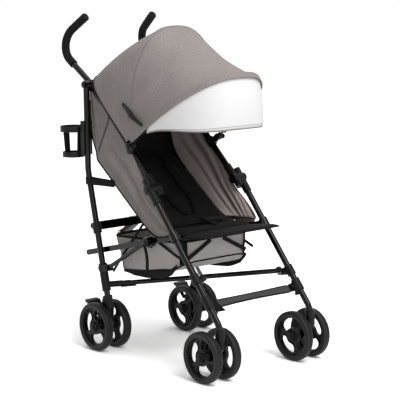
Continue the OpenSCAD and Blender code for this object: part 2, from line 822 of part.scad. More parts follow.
// Cloth seat: two side panels, the back, the head end and the base
seat_bite = [-59, 394];
back_knee = [219, 611];
head_top = [top_y - 22, top_z - 82];
base_front_y = -164;
seat_z = 400;
back_rise = atan((back_knee.y - seat_bite.y) / (back_knee.x - seat_bite.x));
panel_x = handle_x + tube_r + seat_gap;
module seat_sling() {
    tube_front = 6;
    clip_room = 19;
    hole_reach = 250;
    function edge(z) = [handle_at(z).y - tube_front, z];
    outline = [
        seat_bite, back_knee, [top_y - 18, top_z - 160], [top_y - 16, top_z - 50], edge(top_z - 62),
        edge(canopy_axis.z + 30), [24, 628], [10, 600],
        [-20, 556], [-44, 518], [-104, 474], [-146, 432], [-142, 414], [-124, 405]
    ];
    color("#7d7370") {
        for (x = [-panel_x - cloth_t, panel_x])
            difference() {
                translate([x, 0, 0]) rotate([90, 0, 90]) linear_extrude(cloth_t) polygon(outline);
                cross_rod(canopy_axis, -hole_reach, hole_reach, clip_room - 2);
                cross_rod(handle_at(canopy_axis.z - clip_drop), -hole_reach, hole_reach, clip_room);
            }
        translate([-panel_x, 0, 0]) rotate([90, 0, 90]) linear_extrude(2 * panel_x)
            polygon([seat_bite, back_knee, head_top, head_top + [-cloth_t, 0], back_knee + [-cloth_t, 2],
                seat_bite + [-1, cloth_t + 1]]);
        base_half = rail_x - 7;
        translate([-base_half, 0, 0]) rotate([90, 0, 90]) linear_extrude(2 * base_half)
            polygon([seat_bite, seat_bite + [2, cloth_t],
                [base_front_y, seat_z + cloth_t], [base_front_y, seat_z]]);
    }
}

// Padded seat cushion
module seat_pad() {
    length = 92;
    slope = 3;
    lift = cloth_t + 1.2;
    color("#1a1a1b") translate([0, base_front_y + 2, seat_z + lift]) rotate([-slope, 0, 0])
        pillow(pad_x, length, seat_pad_t, 2);
}

// Padded back that reclines
module backrest_pad() {
    back_pad_len = 318;
    start = seat_bite + [11, 9] + [-sin(back_rise), cos(back_rise)] * 4;
    color("#1a1a1b") translate([0, start.x, start.y]) rotate([back_rise, 0, 0])
        pillow(back_x, back_pad_len, back_pad_t, 4);
}

// Padded leg rest in front of the seat
module leg_rest() {
    thick = 18;
    tilt = 8;
    color("#1a1a1b") translate([0, base_front_y - 2, seat_z - 1]) rotate([-tilt, 0, 0])
        translate([0, -leg_rest_len, 0]) pillow(pad_x + 16, leg_rest_len, thick, 1, 20, 12);
}

// Shoulder, lap and crotch straps with a buckle
module harness() {
    web = 22;
    web_t = 2;
    lift = back_pad_t + 5;
    shoulder_x = 52;
    shoulder_from = 70;
    shoulder_len = 210;
    lap_x = 74;
    lap_len = 100;
    lap_at = [-112, seat_z + seat_pad_t + 4.6];
    crotch_len = 30;
    buckle = [48, 46, 12];
    color("#151516") translate([0, seat_bite.x + 11, seat_bite.y + 9]) rotate([back_rise, 0, 0])
        for (s = [-1, 1])
            translate([s * shoulder_x - web / 2, shoulder_from, lift]) cube([web, shoulder_len, web_t]);
    color("#151516") {
        for (s = [-1, 1])
            translate([s * lap_x - lap_len / 2, lap_at.x, lap_at.y]) cube([lap_len, web, web_t]);
        translate([-web / 2, lap_at.x - buckle.y, lap_at.y]) cube([web, crotch_len, web_t]);
        translate([-buckle.x / 2, lap_at.x - 16, lap_at.y]) cube(buckle);
    }
}

// Webbing loops that hold the seat's back to the rear legs
module recline_straps() {
    z0 = 532;
    at = rear_leg_at(z0 + 10);
    web = 20;
    wall = 2;
    inner_r = tube_r + 3;
    reach = 112;
    tail = [panel_x + cloth_t + wall + 1 + seat_gap, at.y - reach];
    color("#3a3838") for (right = [true, false]) on_side(right)
        translate([0, 0, z0]) linear_extrude(web) difference() {
            hull() {
                translate([at.x, at.y]) circle(inner_r + wall);
                translate(tail) circle(wall + 1);
            }
            hull() {
                translate([at.x, at.y]) circle(inner_r);
                translate(tail) circle(1);
            }
        }
}

// Open cloth basket under the seat, with loops to the side rails
module basket() {
    wall = 2.5;
    front_y = -152;
    rear_y = 196;
    corner = 16;
    slice = 2;
    rim = [[front_y + corner, basket_top + basket_lift], [rear_y - corner, basket_top]];
    // Each floor point holds its place, its height and how far the side draws in there
    floor_line = [[front_y + corner + 3, 320, 3], [-60, 290, 6], [rear_y - corner - 14, 246, 12]];
    module tub(inset, lift) {
        hull() for (x = [-1, 1]) {
            for (p = rim)
                translate([x * (basket_x - corner), p.x, p.y - slice])
                    cylinder(r = corner - inset, h = slice + lift);
            for (p = floor_line)
                translate([x * (basket_x - corner - p[2]), p.x, p.y + inset])
                    cylinder(r = corner - inset, h = slice);
        }
    }
    color("#a5a09e") {
        difference() {
            tub(0, 0);
            tub(wall, 5);
        }
        for (s = [-1, 1]) for (y = [-8, 96]) {
            z = rail_joint.z + rail_slope * (y - rail_joint.y);
            translate([s > 0 ? basket_x - 1.5 : -rail_x + seat_gap, y - 12, min(z, basket_top - 4) - 4])
                cube([rail_x - seat_gap - basket_x + 1.5, 24, 8]);
        }
    }
}

// A piece of canopy cloth between two arch angles
module gore(a0, a1, steps, depth, inset) {
    function radius(a) = cloth_at(a, a0, a1, depth) - inset;
    rows = [for (i = [0 : steps]) a0 + (a1 - a0) * i / steps];
    outer = [for (a = rows) [for (j = [0 : arch_steps])
        arch(a, arch_t(j, arch_low), radius(a), canopy_x - inset / 2)]];
    inner = [for (a = rows) [for (j = [0 : arch_steps])
        arch(a, arch_t(j, arch_low), radius(a) - cloth_r, canopy_x - inset / 2 - cloth_r)]];
    skin(outer, inner);
}

module canopy_rear_panel() {
    color("#8a8481") gore(rear_edge_angle, mid_bow_angle - 0.4, 8, rear_sag, 0);
}

module canopy_front_panel() {
    color("#8a8481") gore(mid_bow_angle + 0.4, front_bow_angle, 9, front_sag, 0);
}

// Bent bow of the canopy with an eye at each pivot
module bow(a, r, eye_x) {
    eye_r = 11;
    eye_t = 4;
    lug_r = 9;
    wire_r = 4;
    low = 14;
    points = [for (i = [0 : arch_steps]) arch(a, low + (180 - 2 * low) * i / arch_steps, r, eye_x - 2)];
    difference() {
        union() {
            swept(points, wire_r);
            for (s = [-1, 1]) {
                cross_rod(canopy_axis, s * eye_x - eye_t / 2, s * eye_x + eye_t / 2, eye_r);
                hull() {
                    translate([s * eye_x, canopy_axis.y + lug_r * cos(a), canopy_axis.z + lug_r * sin(a)])
                        cube(eye_t, center = true);
                    translate(s < 0 ? points[0] : points[arch_steps]) cube(eye_t, center = true);
                }
            }
        }
        cross_rod(canopy_axis, -1.2 * canopy_x, 1.2 * canopy_x, pin_r + fit);
    }
}

module canopy_rear_bow() {
    a = mid_bow_angle - bow_back;
    color("#202022") bow(a, cloth_at(a, rear_edge_angle, mid_bow_angle, rear_sag) - bow_inset, rear_eye_x);
}

module canopy_front_bow() {
    a = front_bow_angle - bow_back;
    color("#202022") bow(a, cloth_at(a, mid_bow_angle, front_bow_angle, front_sag) - bow_inset, front_eye_x);
}

// Jointed levers that tighten the canopy, one outside each pivot
module canopy_stretchers() {
    knee = [0, canopy_axis.y - 17, canopy_axis.z + 97];
    back = [0, canopy_axis.y + 22, canopy_axis.z + 126];
    front = [0, canopy_axis.y - 70, canopy_axis.z + 70];
    color("#1e1e20") for (right = [true, false]) on_side(right) {
        x = canopy_x + 1;
        hull() {
            cross_rod(knee, x, x + 4, 8);
            cross_rod(back, x, x + 4, 5);
        }
        hull() {
            cross_rod(knee, x + 4, x + 8, 8);
            cross_rod(front, x + 4, x + 8, 5);
        }
        cross_rod(knee, x + 7, x + 10, 4);
    }
}

// Sun visor that pulls out from under the front bow
module visor() {
    inset = 6;
    tuck = 50;
    side_fade = 30;
    low = 16;
    rows = 5;
    function spread(t) = visor_angle * (1 - exp(-pow(min(t, 180 - t) / side_fade, 2)));
    function place(i, j, deep) =
        let (t = arch_t(j, low), f = i / rows)
        arch(front_bow_angle + 0.5 + spread(t) * f, t, canopy_front_r - inset - tuck * f - deep,
            canopy_x - inset / 2 - deep);
    outer = [for (i = [0 : rows]) [for (j = [0 : arch_steps]) place(i, j, 0)]];
    inner = [for (i = [0 : rows]) [for (j = [0 : arch_steps]) place(i, j, cloth_r)]];
    color("#f2f2f2") skin(outer, inner);
}

// Flexible footrest band between the front legs
module footrest_strap() {
    foot_at = front_leg_at(foot_z);
    half = leg_x - 33 - seat_gap;
    band_h = 26;
    cols = 16;
    function place(i, z, t) =
        let (u = 2 * i / cols - 1)
        [u * half, foot_at.y + 4 + 14 * (1 - u * u) + t, foot_at.z - 8 + z * (1 - 0.18 * (1 - u * u))];
    front = [for (z = [-band_h / 2, 0, band_h / 2]) [for (i = [0 : cols]) place(i, z, -2)]];
    back = [for (z = [-band_h / 2, 0, band_h / 2]) [for (i = [0 : cols]) place(i, z, 2)]];
    color("#969696") skin(back, front);
}

seat_sling();
seat_pad();
basket();
canopy_rear_panel();
canopy_rear_bow();
footrest_strap();
harness();
recline_straps();
backrest_pad();
leg_rest();
canopy_front_panel();
canopy_front_bow();
canopy_stretchers();
visor();
for (right = [true, false]) {
    side = right ? "_right" : "_left";
    on_side(right) handle_tube();
    on_side(right) grip();
    on_side(right) front_leg();
    on_side(right) mid_hinge();
    on_side(right) top_bracket();
    on_side(right) canopy_clip();
    on_side(right) front_leg_clamps(right);
    on_side(right) seat_rail();
    on_side(right) rear_leg();
    on_side(right) rear_wheel_housing();
    on_side(right) rear_leg_brackets(!right);
    on_side(right) axle(rear_axle_at);
    on_side(right) cross_bar(right);
    on_side(right) side_brace();
    on_side(right) {
        rear_arm(!right);
        if (!right) color("#222224") pedal_lugs();
    }
    on_side(right) caster_fork();
    on_side(right) axle(front_axle_at);
    on_side(right) brake_pedal();
    for (outer = [true, false]) {
        place = outer ? "_outer" : "_inner";
        reach = outer ? 1 : -1;
        on_side(right) wheel(front_axle_at, reach);
        on_side(right) wheel(rear_axle_at, reach);
    }
}
on_side(true) cup_holder();
fold_pedal();
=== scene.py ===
"""Dresses a folding umbrella stroller in the order it is put together, then lights it."""

from math import atan2, copysign, cos, degrees, exp, pi, radians, sin, tan, tau

import bmesh
import bpy
import numpy as np
from mathutils import Matrix, Vector


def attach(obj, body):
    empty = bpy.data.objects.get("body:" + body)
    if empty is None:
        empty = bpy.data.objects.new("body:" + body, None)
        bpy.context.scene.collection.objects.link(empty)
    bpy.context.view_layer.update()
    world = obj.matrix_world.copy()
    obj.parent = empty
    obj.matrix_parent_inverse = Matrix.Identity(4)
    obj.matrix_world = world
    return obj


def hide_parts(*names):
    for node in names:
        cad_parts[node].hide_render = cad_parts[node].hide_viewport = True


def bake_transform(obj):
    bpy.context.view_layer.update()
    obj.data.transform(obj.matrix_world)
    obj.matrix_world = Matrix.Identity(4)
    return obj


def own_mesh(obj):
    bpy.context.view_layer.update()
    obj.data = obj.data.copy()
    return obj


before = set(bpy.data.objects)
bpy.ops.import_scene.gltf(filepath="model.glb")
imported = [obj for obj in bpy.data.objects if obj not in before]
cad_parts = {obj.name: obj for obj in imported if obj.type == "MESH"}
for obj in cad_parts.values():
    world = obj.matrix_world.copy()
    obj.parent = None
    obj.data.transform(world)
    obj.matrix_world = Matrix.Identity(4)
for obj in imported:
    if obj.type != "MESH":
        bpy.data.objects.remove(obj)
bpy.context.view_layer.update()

# Frame tubes. Drawn steel tubes and pressed flat bars, pinned or clamped to one another.
# They are powder coated in black and baked, which leaves a fine orange peel.
MM = 0.001
SIDES = {"right": -1, "left": 1}
PATCH_MM = 60
GLOSS_SPREAD = 0.06


def hex_colour(text):
    """Turns an sRGB hex colour to the linear colour that a shader takes."""
    channels = [int(text[i : i + 2], 16) / 255 for i in (1, 3, 5)]
    linear = [c / 12.92 if c <= 0.04045 else ((c + 0.055) / 1.055) ** 2.4 for c in channels]
    return (*linear, 1.0)


def add_node(tree, kind, inputs=None, **settings):
    """Adds a node, sets what it is given, and links the inputs that are sockets or other nodes."""
    node = tree.nodes.new(kind)
    for key, value in settings.items():
        setattr(node, key, value)
    for key, value in (inputs or {}).items():
        if isinstance(value, bpy.types.Node):
            value = next(socket for socket in value.outputs if socket.enabled)
        if isinstance(value, bpy.types.NodeSocket):
            tree.links.new(value, node.inputs[key])
        else:
            node.inputs[key].default_value = value
    return node


def new_material(name):
    """A material with an empty node tree."""
    material = bpy.data.materials.new(name)
    material.use_nodes = True
    material.node_tree.nodes.clear()
    return material, material.node_tree


def per_metre(size_mm):
    """The texture scale at which one cell is so many millimetres across."""
    return 1.0 / (size_mm * MM)


def hard_finish(name, dark, light, roughness, grain_mm, grain_depth_mm, specular=0.16, metallic=0.0):
    """A moulded, painted or plated surface: faint patches of tone, and a grain in gloss and relief."""
    material, tree = new_material(name)
    place = add_node(tree, "ShaderNodeTexCoord").outputs["Object"]
    patches = add_node(tree, "ShaderNodeTexNoise", {
        "Vector": place, "Scale": per_metre(PATCH_MM), "Detail": 4.0})
    grain = add_node(tree, "ShaderNodeTexNoise", {
        "Vector": place, "Scale": per_metre(grain_mm), "Detail": 2.0})
    tone = add_node(tree, "ShaderNodeMix", {
        "Factor": patches, "A": hex_colour(dark), "B": hex_colour(light)}, data_type="RGBA")
    gloss = add_node(tree, "ShaderNodeMapRange", {
        "Value": grain, "To Min": roughness - GLOSS_SPREAD, "To Max": roughness + GLOSS_SPREAD})
    relief = add_node(tree, "ShaderNodeBump", {
        "Height": grain, "Strength": 0.5, "Distance": grain_depth_mm * MM})
    shader = add_node(tree, "ShaderNodeBsdfPrincipled", {
        "Base Color": tone, "Roughness": gloss,
        "Normal": relief, "Metallic": metallic, "Specular IOR Level": specular})
    add_node(tree, "ShaderNodeOutputMaterial", {"Surface": shader})
    return material


def dress(material, *nodes):
    """Gives carried-over solids their finish."""
    for name in nodes:
        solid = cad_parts[name]
        solid.data.materials.clear()
        solid.data.materials.append(material)


def both(*names):
    """The right and left names of paired pieces."""
    return [f"{name}_{side}" for name in names for side in SIDES]


# The coat is a near-black gloss, with long thin highlights that break up a little along a tube.
# Orange peel is about 1 mm across; it is drawn at 3 mm so that it shows.
powder_coat = hard_finish("powder_coated_steel", "#020203", "#060607", 0.08, 3.0, 0.01, specular=0.22)
dress(powder_coat, *both(
    "handle_tube", "front_leg", "rear_leg", "cross_bar", "seat_rail", "side_brace", "rear_arm"))

# Moulded joints. Clamps, hinge housings, brackets, forks and brake levers of glass-filled nylon.
# They close round the tubes and carry the pins that the folding parts turn on.
# Spark-eroded tools leave a dull charcoal with an even grain, so its highlights are broad and soft.
# The grain is about 0.5 mm; it is drawn at 1.6 mm so that it shows.
moulded_nylon = hard_finish("moulded_nylon", "#09090a", "#101011", 0.45, 1.6, 0.12)
dress(moulded_nylon, "cup_holder", *both(
    "mid_hinge", "top_bracket", "canopy_clip", "front_leg_clamps", "rear_wheel_housing",
    "rear_leg_brackets", "caster_fork", "brake_pedal"))

# Rivets. Steel pins with a low domed head, blackened and set at the frame's pivots.
# The heads are instanced on points, and there is one mesh for each body that carries them.
# Black oxide is a dark metal that still takes a small bright spot.
black_oxide = hard_finish("blackened_steel", "#1a1a1b", "#2b2b2c", 0.36, 2.0, 0.03, metallic=1.0)
RIVET_MM = {"Radius": 5.2, "Half height": 2.2}


def bead_tree(name, sizes_mm, segments, rings, smooth, material):
    """A tree that sets a bead on each point, the way it faces, or at even steps along a seam."""
    tree = bpy.data.node_groups.new(name, "GeometryNodeTree")
    tree.interface.new_socket("Places", in_out="INPUT", socket_type="NodeSocketGeometry")
    for label, size in sizes_mm.items():
        socket = tree.interface.new_socket(label, in_out="INPUT", socket_type="NodeSocketFloat")
        socket.default_value = size * MM
    tree.interface.new_socket("Beads", in_out="OUTPUT", socket_type="NodeSocketGeometry")
    given = add_node(tree, "NodeGroupInput").outputs
    if "Spacing" in sizes_mm:
        line = add_node(tree, "GeometryNodeMeshToCurve", {"Mesh": given["Places"]})
        points = add_node(tree, "GeometryNodeResampleCurve", {
            "Curve": line, "Length": given["Spacing"]}, mode="LENGTH")
        facing = add_node(tree, "GeometryNodeInputTangent")
    else:
        points = given["Places"]
        facing = add_node(tree, "GeometryNodeInputNamedAttribute", {
            "Name": "facing"}, data_type="FLOAT_VECTOR")
    size = add_node(tree, "ShaderNodeCombineXYZ", {
        "X": given["Radius"], "Y": given["Radius"], "Z": given["Half height"]})
    ball = add_node(tree, "GeometryNodeMeshUVSphere", {
        "Segments": segments, "Rings": rings, "Radius": 1.0})
    shaped = add_node(tree, "GeometryNodeTransform", {"Geometry": ball, "Scale": size})
    turn = add_node(tree, "FunctionNodeAlignRotationToVector", {"Vector": facing}, axis="Z")
    beads = add_node(tree, "GeometryNodeInstanceOnPoints", {
        "Points": points, "Instance": shaped, "Rotation": turn})
    solid = add_node(tree, "GeometryNodeRealizeInstances", {"Geometry": beads})
    shaded = add_node(tree, "GeometryNodeSetShadeSmooth", {"Geometry": solid, "Shade Smooth": smooth})
    finished = add_node(tree, "GeometryNodeSetMaterial", {"Geometry": shaded, "Material": material})
    add_node(tree, "NodeGroupOutput", {"Beads": finished})
    return tree


def new_object(name, data):
    """Links a mesh, a curve, a lamp or a camera to the scene as an object at the origin."""
    made = bpy.data.objects.new(name, data)
    bpy.context.scene.collection.objects.link(made)
    return made


def plain_mesh(piece):
    """The mesh that a piece has once its modifiers are run."""
    return bpy.data.meshes.new_from_object(piece.evaluated_get(bpy.context.evaluated_depsgraph_get()))


def bake_nodes(places, tree, name):
    """Runs a node tree on a mesh and keeps the result as a plain mesh object."""
    carrier = new_object(f"{name}_carrier", places)
    carrier.modifiers.new("nodes", "NODES").node_group = tree
    mesh = plain_mesh(carrier)
    bpy.data.objects.remove(carrier)
    return new_object(name, mesh)


rivets = bead_tree("rivet_heads", RIVET_MM, 16, 8, True, black_oxide)


def rivet_row(name, body, spots):
    """Sets rivets on one body, each spot a place in millimetres and the way its head faces."""
    mesh = bpy.data.meshes.new(name)
    mesh.from_pydata([Vector(p) * MM for p, _ in spots], [], [])
    facing = mesh.attributes.new("facing", "FLOAT_VECTOR", "POINT")
    for item, (_, way) in zip(facing.data, spots):
        item.vector = way
    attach(bake_nodes(mesh, rivets, name), body)


for side, s in SIDES.items():
    outwards = (s, 0, 0)
    rivet_row(f"frame_rivets_{side}", f"{side}_frame", [
        ((s * 204.2, -62, 545), outwards),
        ((s * 202, 254, 850), outwards),
        ((s * 200.6, 34, 672), outwards),
        ((s * 197, -38, 378), outwards),
    ])
    rivet_row(f"rear_leg_rivets_{side}", f"{side}_rear_leg", [
        ((s * 200.6, 158.8, 268), outwards),
        ((s * 170, 259.5, 391), (0, 1, 0)),
    ])

# Wheels. A soft EVA tyre on a moulded disc with bean windows, raised window rims and a hub cap.
# Each wheel is one piece: tyre, disc and cap are pressed together at the works.
# Foamed EVA is a matt black that shows its round shoulder as a soft grey band.
# Tread blisters are about 1 mm; they are drawn at 2.4 mm so that they show.
eva_tyre = hard_finish("eva_foam_tyre", "#0d0d0e", "#161617", 0.5, 2.4, 0.15, specular=0.24)
# The disc comes from a smoother tool than the joints, so it is a little glossier.
disc_plastic = hard_finish("moulded_abs_disc", "#0b0b0c", "#131314", 0.34, 1.6, 0.08)
WHEEL_R = 78.0
TYRE_W = 28.0
SHOULDER_R = 9.0
TREAD = ((0, -4), (-1.2, -3.4), (-1.2, -2.6), (0, -2))
RIM_R = 67.0
RIM = ((-8, -9), (-7, -10.5), (-4.6, -10.5), (-4.6, 10.5), (-7, 10.5), (-8, 9), (-8.6, 5), (-8.6, -5))
WINDOWS = 3
WINDOW_R = 41.0
WINDOW_HALF = 15.5
WINDOW_SPAN = 54.0
WINDOW_EDGE = 2.6
SMALL_HOLE = (3.6, 50.0)
HALF_HUB = [(5.2, -15), (13.5, -15), (14.5, -13.8), (15.5, -6), (19, -4)]
CAP = ((0.01, 15.6), (6, 15.6), (9.6, 15.2), (11, 14), (11, 12.5), (0.01, 12.5))
SHARP = radians(35)


def lathe(outline, segments=72):
    """Turns a closed outline of (radius, across) points in millimetres about the X axis."""
    shape = bmesh.new()
    rings = []
    for k in range(segments):
        y, z = cos(tau * k / segments), sin(tau * k / segments)
        rings.append([shape.verts.new((x * MM, r * y * MM, r * z * MM)) for r, x in outline])
    for k in range(segments):
        here, after = rings[k], rings[(k + 1) % segments]
        for i in range(len(outline)):
            j = (i + 1) % len(outline)
            shape.faces.new((here[i], here[j], after[j], after[i]))
    bmesh.ops.recalc_face_normals(shape, faces=shape.faces)
    return shape


def mirrored(points):
    """An outline of (radius, across) points, carried on over to the other side."""
    return points + [(r, -x) for r, x in reversed(points)]


def bean(half, turn, steps=10):
    """Outline of a bean window: an arc of even width with round ends, in millimetres."""
    start = radians(turn - WINDOW_SPAN / 2)
    stop = radians(turn + WINDOW_SPAN / 2)
    points = []
    for a0, a1, radius, lean in (
        (start, stop, WINDOW_R + half, 0),
        (stop, start, WINDOW_R - half, pi),
    ):
        for i in range(steps + 1):
            a = a0 + (a1 - a0) * i / steps
            points.append((radius * cos(a), radius * sin(a)))
        points += ring_points(half, WINDOW_R, a1, 2 * steps, a1 + lean)[1:steps]
    return points


def ring_points(radius, out=0.0, at=0.0, steps=48, first=0.0):
    """Points of a circle in millimetres, whose middle is so far out at an angle."""
    points = []
    for i in range(steps):
        a = first + tau * i / steps
        points.append((out * cos(at) + radius * cos(a), out * sin(at) + radius * sin(a)))
    return points


def cut_plate(outlines, half_t, bevel):
    """A plate filled between closed outlines, with eased edges, standing across the X axis."""
    curve = bpy.data.curves.new("plate", "CURVE")
    curve.dimensions = "2D"
    curve.fill_mode = "BOTH"
    curve.extrude = (half_t - bevel) * MM
    curve.bevel_depth = bevel * MM
    curve.bevel_resolution = 1
    curve.offset = -bevel * MM
    for outline in outlines:
        spline = curve.splines.new("POLY")
        spline.points.add(len(outline) - 1)
        for point, (y, z) in zip(spline.points, outline):
            point.co = (y * MM, z * MM, 0, 1)
        spline.use_cyclic_u = True
    carrier = new_object("plate_carrier", curve)
    mesh = plain_mesh(carrier)
    bpy.data.objects.remove(carrier)
    bpy.data.curves.remove(curve)
    quarter = radians(90)
    mesh.transform(Matrix.Rotation(quarter, 4, "Y") @ Matrix.Rotation(quarter, 4, "Z"))
    plate = bmesh.new()
    plate.from_mesh(mesh)
    bpy.data.meshes.remove(mesh)
    bmesh.ops.remove_doubles(plate, verts=plate.verts, dist=0.01 * MM)
    bmesh.ops.recalc_face_normals(plate, faces=plate.faces)
    return plate


def mesh_from(name, shape, *materials):
    """Turns a worked shape to a mesh with its materials."""
    mesh = bpy.data.meshes.new(name)
    shape.to_mesh(mesh)
    shape.free()
    for material in materials:
        mesh.materials.append(material)
    return mesh


def tyre_outline():
    """Section of the tyre: a round shoulder on each side, and two shallow tread grooves."""
    half = TYRE_W / 2
    points = [(RIM_R - 5, -half + 3), (RIM_R, -half + 0.5), (RIM_R + 3, -half)]
    for i in range(7):
        a = radians(-90 + 90 * i / 6)
        points.append((WHEEL_R + SHOULDER_R * (cos(a) - 1), -half + SHOULDER_R * (1 + sin(a))))
    return mirrored(points + [(WHEEL_R + r, x) for r, x in TREAD])


def wheel_mesh(name):
    """One wheel about the X axis: tyre, rim, disc with windows, raised window rims, hub and caps."""
    turns = [360 * k / WINDOWS for k in range(WINDOWS)]
    beans = [bean(WINDOW_HALF, turn) for turn in turns]
    hole_r, hole_out = SMALL_HOLE
    holes = [ring_points(hole_r, hole_out, radians(60 + turn), 16) for turn in turns]
    parts = [
        lathe(tyre_outline()),
        lathe([(RIM_R + r, x) for r, x in RIM]),
        cut_plate([ring_points(RIM_R - 7.5), *beans, *holes], 4.6, 0.8),
    ]
    for window, turn in zip(beans, turns):
        parts.append(cut_plate([bean(WINDOW_HALF + WINDOW_EDGE, turn), window], 7.2, 0.9))
    parts.append(lathe(mirrored(HALF_HUB), 48))
    for way in (-1, 1):
        parts.append(lathe([(r, way * x) for r, x in CAP], 40))
    whole = bmesh.new()
    for k, part in enumerate(parts):
        for face in part.faces:
            face.material_index = min(k, 1)
            face.smooth = True
        mesh = mesh_from("wheel_part", part)
        whole.from_mesh(mesh)
        bpy.data.meshes.remove(mesh)
    mesh = mesh_from(name, whole, eva_tyre, disc_plastic)
    mesh.set_sharp_from_angle(angle=SHARP)
    return mesh


LEG_X = 188.0
PAIR_HALF = 37.0
AXLE_Y = {"front": -340.0, "rear": 179.0}
# Each wheel of a pair has its reach from the leg and the turn at which it stands.
PAIR = {"outer": (PAIR_HALF, 135), "inner": (-PAIR_HALF, 65)}
pattern_wheel = wheel_mesh("wheel_pattern")
for end, axle_y in AXLE_Y.items():
    for side, s in SIDES.items():
        for place, (reach, turn) in PAIR.items():
            name = f"{end}_wheel_{side}_{place}"
            mesh = pattern_wheel.copy()
            centre = Vector((s * (LEG_X + reach), axle_y, WHEEL_R)) * MM
            mesh.transform(Matrix.Translation(centre) @ Matrix.Rotation(radians(turn), 4, "X"))
            wheel = new_object(f"{name}_dressed", mesh)
            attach(wheel, name)
            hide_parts(name)
bpy.data.meshes.remove(pattern_wheel)
dress(moulded_nylon, *both("front_axle", "rear_axle"))

# Cross bar plugs. A moulded nylon plug is driven into the rear end of each cross bar.
# Its rounded nose bears on the saddle of the rear leg on the other side.
BAR_LEN = 500.0
BAR_PIVOT = (160, -267.7)
BAR_PIVOT_Z = {"right": 295, "left": 273}
BAR_WAY = (-0.6148, 0.7810, -0.1095)
PLUG = ((0.01, -16), (9.0, -16), (9.4, -15), (9.4, 2), (8.2, 5), (5, 6.4), (0.01, 6.4))


def smooth_faces(mesh):
    """Shades a mesh smooth, with its edges kept crisp."""
    mesh.shade_smooth()
    mesh.set_sharp_from_angle(angle=SHARP)


for side, s in SIDES.items():
    name = f"cross_bar_plug_{side}"
    pivot = Vector((s * BAR_PIVOT[0], BAR_PIVOT[1], BAR_PIVOT_Z[side]))
    way = Vector((s * BAR_WAY[0], *BAR_WAY[1:]))
    mesh = mesh_from(name, lathe(PLUG, 32), moulded_nylon)
    along = Vector((1, 0, 0)).rotation_difference(way).to_matrix().to_4x4()
    mesh.transform(Matrix.Translation((pivot + way * BAR_LEN) * MM) @ along)
    smooth_faces(mesh)
    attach(new_object(name, mesh), f"{side}_cross_bar")

# Grips. Closed-cell foam sleeves, pushed over the ends of the handle tubes with a little air.
# The skin of cut foam is matt and pebbled, so it shows no highlight, only a soft fall of tone.
# Foam cells are under 1 mm; they are drawn at 1.8 mm so that they show.
grip_foam = hard_finish("closed_cell_foam", "#09090a", "#121213", 0.82, 1.8, 0.35)
dress(grip_foam, *both("grip"))

# Foot pedal that frees the fold. A moulded lever between the rear arms, pressed down with the shoe.
# A drilled steel plate is let into each of its ends. The nylon is a flat dark grey.
pedal_plastic = hard_finish("grey_nylon", "#161718", "#232425", 0.42, 1.6, 0.1)
dress(pedal_plastic, "fold_pedal")
# Zinc plate is the one bright metal here, with a faint spangle.
zinc_plate = hard_finish("zinc_plated_steel", "#8f9092", "#b4b5b7", 0.28, 2.0, 0.03, metallic=1.0)
PEDAL_TIP = (343.1, 335.6)
PLATE_R, PLATE_HOLE_R = 8.8, 2.4
for name, x in (("pedal_plate_right", 1.6), ("pedal_plate_left", 50.4)):
    plate = cut_plate([ring_points(PLATE_R), ring_points(PLATE_HOLE_R, steps=16)], 1.0, 0.3)
    mesh = mesh_from(name, plate, zinc_plate)
    mesh.transform(Matrix.Translation(Vector((x, *PEDAL_TIP)) * MM))
    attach(new_object(name, mesh), "pedal")

# Seat cloth. Polyester canvas: two side panels, the back, the base, and a black liner at the head whose
# black is painted shade from the canopy.
# They are sewn to one sling, bound with tape and slipped over the tubes.
# The side panels are gathered at the front, so long folds fan out towards the head.
SLUB = (1.0, 0.35, 1.0)
CLOUD_MM = 90
# A wave texture at a scale of 1 has a band every pi / 10 of a unit.
BAND_STEP = pi / 10
THREAD_RELIEF = 0.398
CLOTH_SPECULAR = 0.06


def woven_cloth(name, dark, light, thread_mm, fleck_mm, roughness, sheen, crease_shade=None):
    """Woven cloth on its own UV map in metres: threads in relief, flecks of two yarns, and painted shade in
    its creases.
    """
    material, tree = new_material(name)
    place = add_node(tree, "ShaderNodeUVMap", uv_map="cloth")
    warp, weft = [add_node(tree, "ShaderNodeTexWave", {
        "Vector": place, "Scale": per_metre(thread_mm) * BAND_STEP}, bands_direction=way) for way in "XY"]
    threads = add_node(tree, "ShaderNodeMath", {
        0: warp.outputs["Fac"], 1: weft.outputs["Fac"]}, operation="MAXIMUM")
    slub = add_node(tree, "ShaderNodeMapping", {"Vector": place, "Scale": SLUB})
    fleck = add_node(tree, "ShaderNodeTexNoise", {
        "Vector": slub, "Scale": per_metre(fleck_mm), "Detail": 3.0, "Roughness": 0.7})
    cloud = add_node(tree, "ShaderNodeTexNoise", {
        "Vector": place, "Scale": per_metre(CLOUD_MM), "Detail": 3.0})
    share = add_node(tree, "ShaderNodeMapRange", {"Value": fleck, "From Min": 0.35, "From Max": 0.75})
    worn = add_node(tree, "ShaderNodeMath", {0: share, 1: cloud}, operation="MULTIPLY")
    yarn = add_node(tree, "ShaderNodeMath", {0: worn, 1: 0.6, 2: 0.25}, operation="MULTIPLY_ADD")
    tone = add_node(tree, "ShaderNodeMix", {
        "Factor": yarn, "A": hex_colour(dark), "B": hex_colour(light)}, data_type="RGBA")
    # Painted shade: a point attribute darkens the cloth towards a near-black colour in its creases and
    # tucks.
    if crease_shade:
        crease_shade_share = add_node(tree, "ShaderNodeAttribute", attribute_name="crease_shade").outputs["Fac"]
        tone = add_node(tree, "ShaderNodeMix", {
            "Factor": crease_shade_share, "A": tone, "B": hex_colour(crease_shade)}, data_type="RGBA")
    relief = add_node(tree, "ShaderNodeBump", {
        "Height": threads, "Strength": 0.35, "Distance": THREAD_RELIEF * thread_mm * MM})
    shader = add_node(tree, "ShaderNodeBsdfPrincipled", {
        "Base Color": tone, "Normal": relief, "Roughness": roughness,
        "Specular IOR Level": CLOTH_SPECULAR, "Sheen Weight": sheen, "Sheen Roughness": 0.5})
    add_node(tree, "ShaderNodeOutputMaterial", {"Surface": shader})
    return material


